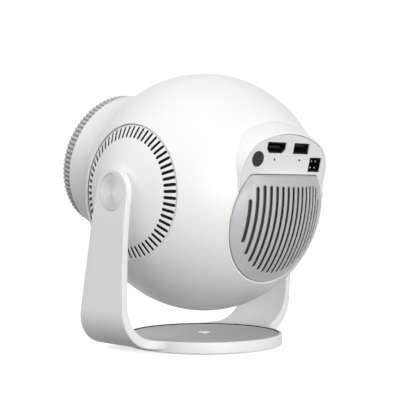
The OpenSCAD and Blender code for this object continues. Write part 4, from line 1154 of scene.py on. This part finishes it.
@dataclass
class FocusRing:
    """The ribbed focus ring, the stepped black hood inside it and the two lenses of the sliding cell.

    Each lens is given as the arguments of the method lens.
    """

    ring_r: float = 48.8
    bore: float = 45.0
    back: float = 86.0
    front: float = 94.7
    ribs: int = 90
    rib_depth: float = 0.9
    rib_steep: float = 3.0
    rib_widen: float = 0.2
    rib_steps: int = 12
    edge: float = 0.5
    sleeve_r: float = 25.08
    sleeve_back: float = 50.0
    sleeve_front: float = 68.0
    hood_gap: float = 0.05
    hood_wall: float = 1.8
    hood_rim: float = 94.1
    mouth_r: float = 43.2
    steps: int = 10
    columns: int = 120
    lens_rows: int = 25
    front_lens: tuple[float, float, float, float] = (60.0, 9.0, 45.0, 19.27)
    rear_lens: tuple[float, float, float, float] = (52.0, -5.5, 40.0, 16.62)

    def ring(self) -> Patch:
        """Carries a ribbed profile round the lens axis: the radius dips between ribs by a flattened cosine.

        Returns:
            The ring's closed skin.
        """
        turn = full_turn(self.ribs * self.rib_steps)
        wave = np.tanh(self.rib_steep * (np.cos(self.ribs * turn) + self.rib_widen))
        inset, drop = quarter(LIP_ROWS)
        outer = self.ring_r - self.rib_depth * (0.5 - 0.5 * wave) - self.edge * inset[:, None]
        ahead, behind = self.front - self.edge * drop, self.back + self.edge * drop
        radius = np.vstack([outer, outer[::-1], np.full((2, turn.size), self.bore)])
        return lathe(radius, -joined(ahead, behind[::-1], self.back, self.front), turn, "y")

    def hood(self) -> Patch:
        """Carries the hood's wall round the lens axis, with light-trapping steps cut into its cone.

        Returns:
            The hood's closed skin.
        """
        cone_r = np.linspace(self.mouth_r, self.sleeve_r, self.steps + 1)
        cone_a = np.linspace(self.hood_rim, self.sleeve_front, self.steps + 1)
        sleeve, seat = self.sleeve_r + self.hood_wall, self.bore - self.hood_gap
        # Each step runs straight back from its lip and then in to the next lip.
        radius = joined(np.repeat(cone_r[:-1], 2), self.sleeve_r, self.sleeve_r, sleeve, sleeve, seat, seat)
        ahead = joined(np.repeat(cone_a, 2)[1:-1], self.sleeve_front, self.sleeve_back, self.sleeve_back,
                       self.sleeve_front - self.hood_wall, self.hood_rim - 2 * self.hood_wall, self.hood_rim)
        return lathe(radius, -ahead, self.columns, "y")

    def lens(self, seat: float, dome: float, curve: float, radius: float) -> Patch:
        """Carries half a lens's section round the lens axis: a spherical dome, a straight edge and a flat face.

        Args:
            seat: The flat face's place along the axis.
            dome: How far the dome's top stands ahead of the flat face, or behind it where less than zero.
            curve: The dome's radius.
            radius: The lens's own radius.

        Returns:
            The lens's closed skin.
        """
        lean = np.linspace(0, np.arcsin(radius / curve), self.lens_rows)
        arc = seat + dome - np.sign(dome) * curve * (1 - np.cos(lean))
        out = joined(curve * np.sin(lean), radius, 0)
        return lathe(out, -joined(arc, seat, seat), self.columns, "y", closed=False)

    def build(self, shop: Workshop) -> None:
        """Makes the ring, the hood and the lenses.

        Args:
            shop: The workshop that makes the pieces.
        """
        shop.piece("ribbed_focus_ring", [self.ring()], Body.FOCUS, Slot.RING, ["focus_ring"], sharp=50)
        shop.piece("stepped_lens_hood", [self.hood()], Body.FOCUS, Slot.BLACK, ["focus_hood"], sharp=20)
        shop.piece("domed_front_lens", [self.lens(*self.front_lens)], Body.LENS, Slot.LENS, ["front_lens"])
        shop.piece("domed_rear_lens", [self.lens(*self.rear_lens)], Body.LENS, Slot.LENS, ["rear_lens"])


@dataclass
class YokeStand:
    """The U-shaped yoke, its round base, the inlaid pad and the two turned pivot caps."""

    arm_in: float = 77.8
    arm_out: float = 82.2
    end_r: float = 15.1
    front_lean: float = np.radians(13.8)
    rear_lean: float = np.radians(9.6)
    hollow_r: float = 480.0
    set_in: float = 2.4
    foot_t: float = 5.5
    bend_r: float = 26.0
    knee_r: float = 24.0
    base_r: float = 53.0
    base_low: float = 0.8
    base_top: float = 8.0
    arm_edge: float = 0.9
    base_edge: float = 1.0
    low_edge: float = 0.6
    seat_edge: float = 0.25
    cap_r: float = 11.7
    cap_gap: float = 0.15
    cap_floor: float = 80.65
    cap_lift: float = 0.05
    cap_face: float = 82.15
    cap_sink: float = 0.02
    cap_edge: float = 0.35
    cap_dish: float = 0.12
    cap_wave: float = 0.01
    cap_rings: int = 26
    root_r: float = 51.6
    pad_r: float = 50.6
    pad_floor: float = 6.6
    pad_top: float = 7.3
    pad_edge: float = 0.35
    pad_bevel: tuple[float, float] = (0.2, 0.15)
    seam_top: float = 7.9
    seam_lift: float = 0.05
    seam_in: float = 0.02
    seam_out: float = 0.13
    fillet_r: float = 14.0
    fillet_sink: float = 0.02
    fillet_tuck: float = 1.2
    foot_out: float = 48.15
    foot_in: float = 39.85
    foot_depth: float = 1.0
    insert_r: float = 5.03
    flange_r: float = 7.03
    dot_r: float = 4.85
    face_steps: int = 6
    seat_rows: int = 2
    seat_columns: int = 18
    lean_columns: int = 20
    bend_columns: int = 30
    end_columns: int = 61
    fillet_columns: int = 33
    pad_rows: int = 8
    ring_rows: int = 8
    base_columns: int = 240
    cap_columns: int = 144

    def edge_line(self, z: Array, side: int) -> Array:
        """Gives the arm's width on one side of the pivot's upright.

        Args:
            z: Heights.
            side: 1 for the rear edge, a hollow arc, and -1 for the front edge, a straight line. Both touch the
                round end.

        Returns:
            The distance from the upright to the edge.
        """
        if side < 0:
            return self.end_r / np.cos(self.front_lean) + np.tan(self.front_lean) * (PIVOT_HEIGHT - z)
        far = self.hollow_r + self.end_r
        mid_z = PIVOT_HEIGHT - far * np.sin(self.rear_lean)
        return far * np.cos(self.rear_lean) - np.sqrt(self.hollow_r ** 2 - (z - mid_z) ** 2)

    def strip_line(self, seat_z: Array, reach: float, low: float, corner: float) -> Array:
        """Follows one face of the strip: upright at the pivot, leaning in below it, then round to the base.

        Args:
            seat_z: The heights of the first samples, beside the cap's seat.
            reach: The face's distance from the middle plane at the pivot.
            low: The height at which the face runs level.
            corner: The radius of its bend.

        Returns:
            Places across and up.
        """
        lean_top = PIVOT_HEIGHT - self.end_r
        turn = np.linspace(0, np.pi / 2, self.bend_columns)[1:]
        z = joined(seat_z, np.linspace(seat_z[-1], low + corner, self.lean_columns)[1:])
        x = reach - self.set_in * np.clip((lean_top - z) / (lean_top - low - corner), 0, 1)
        bend_x = reach - self.set_in - corner * (1 - np.cos(turn))
        return stacked(joined(x, bend_x), joined(z, low + corner * (1 - np.sin(turn))))

    def faces(self, seat_z: Array) -> tuple[Array, Array]:
        """Follows the strip's outer and its inner face, from the heights beside the cap's seat to the base."""
        return (self.strip_line(seat_z, self.arm_out, self.base_top - self.foot_t, self.bend_r),
                self.strip_line(seat_z, self.arm_in, self.base_top, self.knee_r))

    def arm_side(self, side: int) -> Array:
        """Builds the part of the arm behind or in front of the pivot's upright.

        Rows run from the cap's seat or the upright over the outer face, round the edge and back over the inner face.
        Columns run from the round end down to the base and end on the disc.

        Args:
            side: 1 for the rear part and -1 for the front part.

        Returns:
            Points, rows by columns.
        """
        seat = self.cap_r + self.cap_gap
        start = self.rear_lean if side > 0 else -self.front_lean
        drop = np.linspace(start, np.pi / 2, self.seat_columns)
        outer, inner = self.faces(PIVOT_HEIGHT - seat * np.sin(drop))
        count = outer.shape[0]
        seat_w = np.zeros(count)
        seat_w[:drop.size] = np.maximum(seat * np.cos(drop), 0)
        thick = np.linalg.norm(outer - inner, axis=-1)
        inset, fall = quarter(EDGE_ROWS)
        level = np.zeros((self.face_steps, count))
        sunk = np.where(seat_w > TINY, self.arm_out - self.cap_floor, 0)
        edge_d = self.arm_edge * fall[1:, None] + np.zeros(count)
        depth = np.vstack([sunk, sunk, level, edge_d, thick - edge_d[::-1], level + thick])
        xz = outer + (inner - outer) * (depth / thick)[..., None]
        half = self.edge_line(xz[..., 1], side)
        share = np.linspace(0, 1, self.face_steps)[:, None]
        first = self.seat_rows + self.face_steps
        last = first + 2 * (inset.size - 1)
        both = joined(inset[1:], inset[:0:-1])[:, None]
        face = half[self.seat_rows:first] - self.arm_edge
        wide = np.vstack([0 * seat_w, seat_w, seat_w + (face - seat_w) * share,
                          half[first:last] - self.arm_edge * both, (half[last:] - self.arm_edge) * share[::-1]])
        points = stacked(xz[..., 0], side * wide, xz[..., 1])
        root = points[:, -1:].copy()
        root[..., 0] = np.sqrt(self.root_r ** 2 - root[..., 1] ** 2)
        return np.concatenate([points, root], axis=1)

    def arm(self) -> list[Patch]:
        """Joins the arm's rear part, its round end about the pivot and its front part.

        Returns:
            The right arm's surfaces, with the seat for its cap.
        """
        seat = self.cap_r + self.cap_gap
        turn = np.linspace(-self.rear_lean, np.pi - self.front_lean, self.end_columns)[1:-1]
        inset, fall = quarter(EDGE_ROWS)
        share = np.linspace(0, 1, self.face_steps)
        inner_r = self.end_r - self.arm_edge
        floor, full = self.arm_out - self.cap_floor, self.arm_out - self.arm_in
        round_r, round_d = self.end_r - self.arm_edge * inset[1:], self.arm_edge * fall[1:]
        radius = joined(0, seat, seat + (inner_r - seat) * share, round_r, round_r[::-1], inner_r * share[::-1])
        deep = joined(floor, floor, 0 * share, round_d, full - round_d[::-1], full + 0 * share)
        end = lathe(radius, self.arm_out - deep, turn, "x", head=False, at=PIVOT).points
        skin = np.concatenate([self.arm_side(1)[:, ::-1], end, self.arm_side(-1)], axis=1)
        half_rows = (skin.shape[0] - self.seat_rows) // 2 + self.seat_rows
        closing = [Patch(np.stack([column[self.seat_rows:half_rows], column[:half_rows - 1:-1]]))
                   for column in (skin[:, 0], skin[:, -1])]
        return [Patch(skin), *closing]

    def root_fillet(self) -> list[Patch]:
        """Fills the corner between the arm's rear edge and the disc with a hollow arc that touches both.

        The arc's middle lies one radius off the arm's edge and one radius off the disc's side. Each station along it
        is a slab whose top and underside follow the strip, with the strip's rounded edges, and which runs on past the
        corner until it is inside the arm or the disc.

        Returns:
            The right arm's fillet and its two closing ends.
        """
        half = float(self.edge_line(np.array(self.base_top), 1))
        mid_y = half + self.fillet_r
        mid_x = np.sqrt((self.base_r + self.fillet_r) ** 2 - mid_y ** 2)
        turn = np.linspace(-np.pi / 2, np.arctan2(-mid_y, -mid_x), self.fillet_columns)
        out = stacked(np.cos(turn), np.sin(turn))
        wall = [mid_x, mid_y] + (self.fillet_r + self.fillet_sink) * out
        to_arm = (wall[:, 1] - half + self.fillet_tuck * self.arm_edge) / -out[:, 1]
        along = np.sum(wall * out, axis=-1)
        meets = along ** 2 - np.sum(wall ** 2, axis=-1) + (self.base_r - self.fillet_tuck * self.base_edge) ** 2
        to_disc = np.where(meets > 0, -along - np.sqrt(np.maximum(meets, 0)), np.inf)
        reach = np.minimum(to_arm, to_disc)
        inset, fall = quarter(EDGE_ROWS)
        within = np.vstack([reach, self.arm_edge * inset[:, None] + 0 * reach])
        x, y = np.moveaxis(wall + within[..., None] * out, -1, 0)
        drop = self.arm_edge * joined(0, fall)[:, None] + self.fillet_sink
        outer, inner = (face[::-1].T for face in self.faces(np.array([PIVOT_HEIGHT])))
        upper, lower = stacked(x, y, np.interp(x, *inner) - drop), stacked(x, y, np.interp(x, *outer) + drop)
        ends = [Patch(np.stack([upper[:, end], lower[:, end]])) for end in (0, -1)]
        return [Patch(np.concatenate([upper, lower[::-1]]), join_rows=True), *ends]

    def disc(self) -> Patch:
        """Carries the base's section round the upright axis: pad seat, rim, rounded side, foot groove and bore.

        Returns:
            The disc's closed skin.
        """
        inset, drop = quarter(BASE_ROWS)
        seat, low, groove = self.pad_r + self.cap_gap, self.base_low, self.base_low + self.foot_depth
        radius = joined(self.insert_r, seat, seat, (seat + self.seat_edge * inset)[-2::-1],
                        self.base_r - self.base_edge * inset, (self.base_r - self.low_edge * inset)[::-1],
                        self.foot_out, self.foot_out, self.foot_in, self.foot_in, self.flange_r, self.flange_r,
                        self.insert_r)
        height = joined(self.pad_floor, self.pad_floor, self.base_top - self.seat_edge,
                        (self.base_top - self.seat_edge * drop)[-2::-1], self.base_top - self.base_edge * drop,
                        (low + self.low_edge * drop)[::-1], low, groove, groove, low, low, groove, groove)
        return lathe(radius, height, self.base_columns, "z", head=False)

    def pad(self) -> Patch:
        """Carries the pad's section, a flat ring with a rounded rim, round the upright axis.

        Returns:
            The pad's closed skin.
        """
        inset, drop = quarter(EDGE_ROWS)
        bevel_w, bevel_h = self.pad_bevel
        flat = np.linspace(self.dot_r + bevel_w, self.pad_r - self.pad_edge, self.pad_rows)
        radius = joined(self.dot_r, flat, self.pad_r - self.pad_edge * inset[1:], self.pad_r, self.dot_r)
        height = joined(self.pad_top - bevel_h, self.pad_top + 0 * flat, self.pad_top - self.pad_edge * drop[1:],
                        self.pad_floor, self.pad_floor)
        return lathe(radius, height, self.base_columns, "z", head=False)

    def seam(self) -> Patch:
        """Makes a thin dark sleeve of painted shade, which shows as a line between the pad and the rim."""
        return tube(self.pad_r + self.seam_in, self.pad_r + self.seam_out, self.seam_top,
                    self.pad_floor + self.seam_lift, self.base_columns, "z", head=False)

    def cap(self, side: int) -> Patch:
        """Carries a turned face round the pivot's axis: shallow rings, as a lathe tool leaves, in a slight dish.

        The rings are a cosine of the radius, 0.45 mm apart and 0.02 mm high, so that they fan the light out.

        Args:
            side: 1 for the right cap and -1 for the left.

        Returns:
            The cap's closed skin.
        """
        inset, drop = quarter(LIP_ROWS)
        flat, floor = self.cap_r - self.cap_edge, self.cap_floor + self.cap_lift
        radius = np.linspace(0, flat, self.cap_rings * self.ring_rows + 1)
        rings = self.cap_wave * np.cos(radius / flat * self.cap_rings * 2 * np.pi)
        dish = self.cap_dish * (1 - (radius / self.cap_r) ** 2)
        face = self.cap_face - self.cap_sink - dish + rings
        place = joined(face, self.cap_face - self.cap_edge * drop, floor, floor)
        radius = joined(radius, self.cap_r - self.cap_edge * inset, self.cap_r, 0)
        return lathe(radius, side * place, self.cap_columns, "x", closed=False, head=False, at=PIVOT)

    def build(self, shop: Workshop) -> None:
        """Makes the arms, the base, the pad with a painted shade line at its seam, and the caps.

        Args:
            shop: The workshop that makes the pieces.
        """
        arm = self.arm() + self.root_fillet()
        both = arm + [Patch(patch.points * [-1, 1, 1]) for patch in arm]
        shop.piece("yoke_arms", both, Body.STAND, Slot.YOKE, ["yoke"])
        shop.piece("yoke_base_disc", [self.disc()], Body.STAND, Slot.YOKE, ["yoke"])
        shop.piece("base_inlay_pad", [self.pad()], Body.STAND, Slot.PAD, ["base_pad"])
        # Painted shade: a black sleeve in the gap round the pad.
        shop.piece("pad_seam_shade_sleeve", [self.seam()], Body.STAND, Slot.BLACK)
        for word, side in SIDES:
            shop.piece(f"turned_pivot_cap_{word}", [self.cap(side)], Body.STAND, Slot.CAP, [f"pivot_cap_{word}"])


@dataclass(frozen=True)
class Lamp:
    """One soft lamp: where it stands from the ball's middle, how wide it is and how strong."""

    name: str
    toward: tuple[float, float, float]
    distance: float
    width: float
    watts: float

    def build(self) -> None:
        """Hangs the lamp and points it at the ball's middle."""
        light = bpy.data.lights.new(self.name, "AREA")
        light.shape = "DISK"
        light.size = self.width
        light.energy = self.watts
        aim_from(put(self.name, light), Vector(self.toward).normalized(), self.distance)


def aim_from(thing: bpy.types.Object, toward: Vector, distance: float) -> None:
    """Stands a camera or a lamp off from the ball's middle and points it there."""
    thing.location = Vector(PIVOT) * MM + toward * distance
    thing.rotation_euler = toward.to_track_quat("Z", "Y").to_euler()


@dataclass
class Studio:
    """The camera, the soft lamps, the pale world and the floor."""

    azimuth: float = np.radians(135.1)
    distance: float = 0.7317
    focal: float = 96.84
    sensor: float = 36.0
    shift: tuple[float, float] = (-0.0103, -0.0194)
    far: float = 100.0
    lamps: tuple[Lamp, ...] = (
        Lamp("key_lamp", (0.40, 0.905, 0.14), 2.0, 1.0, 32.5),
        Lamp("fill_lamp", (0.65, -0.545, 0.53), 1.8, 1.2, 11.0),
    )
    sky: float = 0.48
    ground: float = 0.05
    dusk: tuple[float, float] = (-0.25, 0.35)
    floor_size: float = 30.0
    paper: str = "#E8E8E8"
    paper_glow: float = 0.72
    paper_unseen: str = "#505050"

    def camera(self) -> None:
        """Sets the camera level with the pivot, behind and to the right, as the photograph was taken."""
        lens = bpy.data.cameras.new("photo_camera")
        lens.lens = self.focal
        lens.sensor_width = self.sensor
        lens.shift_x, lens.shift_y = self.shift
        lens.clip_end = self.far
        camera = put("photo_camera", lens)
        aim_from(camera, Vector((np.sin(self.azimuth), -np.cos(self.azimuth), 0)), self.distance)
        bpy.context.scene.camera = camera

    def seen(self, tree: Tree) -> Socket:
        """Tells the rays that show a surface, straight or in metal and glass, from those that only light it.

        Args:
            tree: The node tree of the floor or the world.

        Returns:
            One for camera, glossy and transmission rays, and zero for the rest.
        """
        straight, glossy, through = (add(tree, "ShaderNodeLightPath", {}, f"Is {kind} Ray")
                                     for kind in ("Camera", "Glossy", "Transmission"))
        return maths(tree, "MAXIMUM", straight, maths(tree, "MAXIMUM", glossy, through))

    def world(self) -> None:
        """Builds a white surround that lights the object more from above than from below."""
        world = bpy.data.worlds.new("studio_world")
        bpy.context.scene.world = world
        tree = fresh_tree(world)
        where = add(tree, "ShaderNodeTexCoord", {}, "Generated")
        up = add(tree, "ShaderNodeSeparateXYZ", {0: where}, "Z")
        sky = ramp(tree, up, *self.dusk, self.ground, self.sky)
        level = add(tree, "ShaderNodeMix", {"Factor": self.seen(tree), "A": sky, "B": 1.0}, "Result")
        glow = add(tree, "ShaderNodeBackground", {"Color": (1.0, 1.0, 1.0, 1.0), "Strength": level})
        add(tree, "ShaderNodeOutputWorld", {"Surface": glow})

    def floor(self) -> None:
        """Lays a pale floor that shows white with the object's shadow and throws little light back up."""
        side = self.floor_size / 2
        mesh = bpy.data.meshes.new("studio_floor")
        corners = [(-side, -side, 0), (side, -side, 0), (side, side, 0), (-side, side, 0)]
        mesh.from_pydata(corners, [], [(0, 1, 2, 3)])
        material = bpy.data.materials.new("studio_paper_white")
        tree = fresh_tree(material)
        paper, dark = (add(tree, "ShaderNodeBsdfDiffuse", {"Color": linear(colour)})
                       for colour in (self.paper, self.paper_unseen))
        glow = add(tree, "ShaderNodeEmission", {"Strength": self.paper_glow})
        bright = add(tree, "ShaderNodeAddShader", {0: paper, 1: glow})
        both = add(tree, "ShaderNodeMixShader", {0: self.seen(tree), 1: dark, 2: bright})
        add(tree, "ShaderNodeOutputMaterial", {"Surface": both})
        mesh.materials.append(material)
        floor = put("studio_floor", mesh)

    def build(self) -> None:
        """Sets up the view, the light and the floor."""
        bpy.context.scene.view_settings.view_transform = "Standard"
        self.camera()
        self.world()
        self.floor()
        for lamp in self.lamps:
            lamp.build()


@dataclass
class Projector:
    """The whole object, sub-assembly by sub-assembly."""

    stand: YokeStand = field(default_factory=YokeStand)
    shell: BallShell = field(default_factory=BallShell)
    vents: VentPanels = field(default_factory=VentPanels)
    grille: RearGrille = field(default_factory=RearGrille)
    ports: PortDetails = field(default_factory=PortDetails)
    focus: FocusRing = field(default_factory=FocusRing)

    def build(self, shop: Workshop) -> None:
        """Makes every sub-assembly and then dresses the CAD nodes.

        Args:
            shop: The workshop that makes the pieces.
        """
        for part in (self.stand, self.shell, self.vents, self.grille, self.ports, self.focus):
            part.build(shop)
        shop.dress_nodes()


def main() -> None:
    """Builds the studio and the projector, and reports each piece."""
    logging.basicConfig(level=logging.INFO, format="%(message)s")
    Studio().build()
    shop = Workshop()
    Projector().build(shop)
    LOG.info("%d new pieces", len(shop.pieces))


if __name__ == "__main__":
    main()
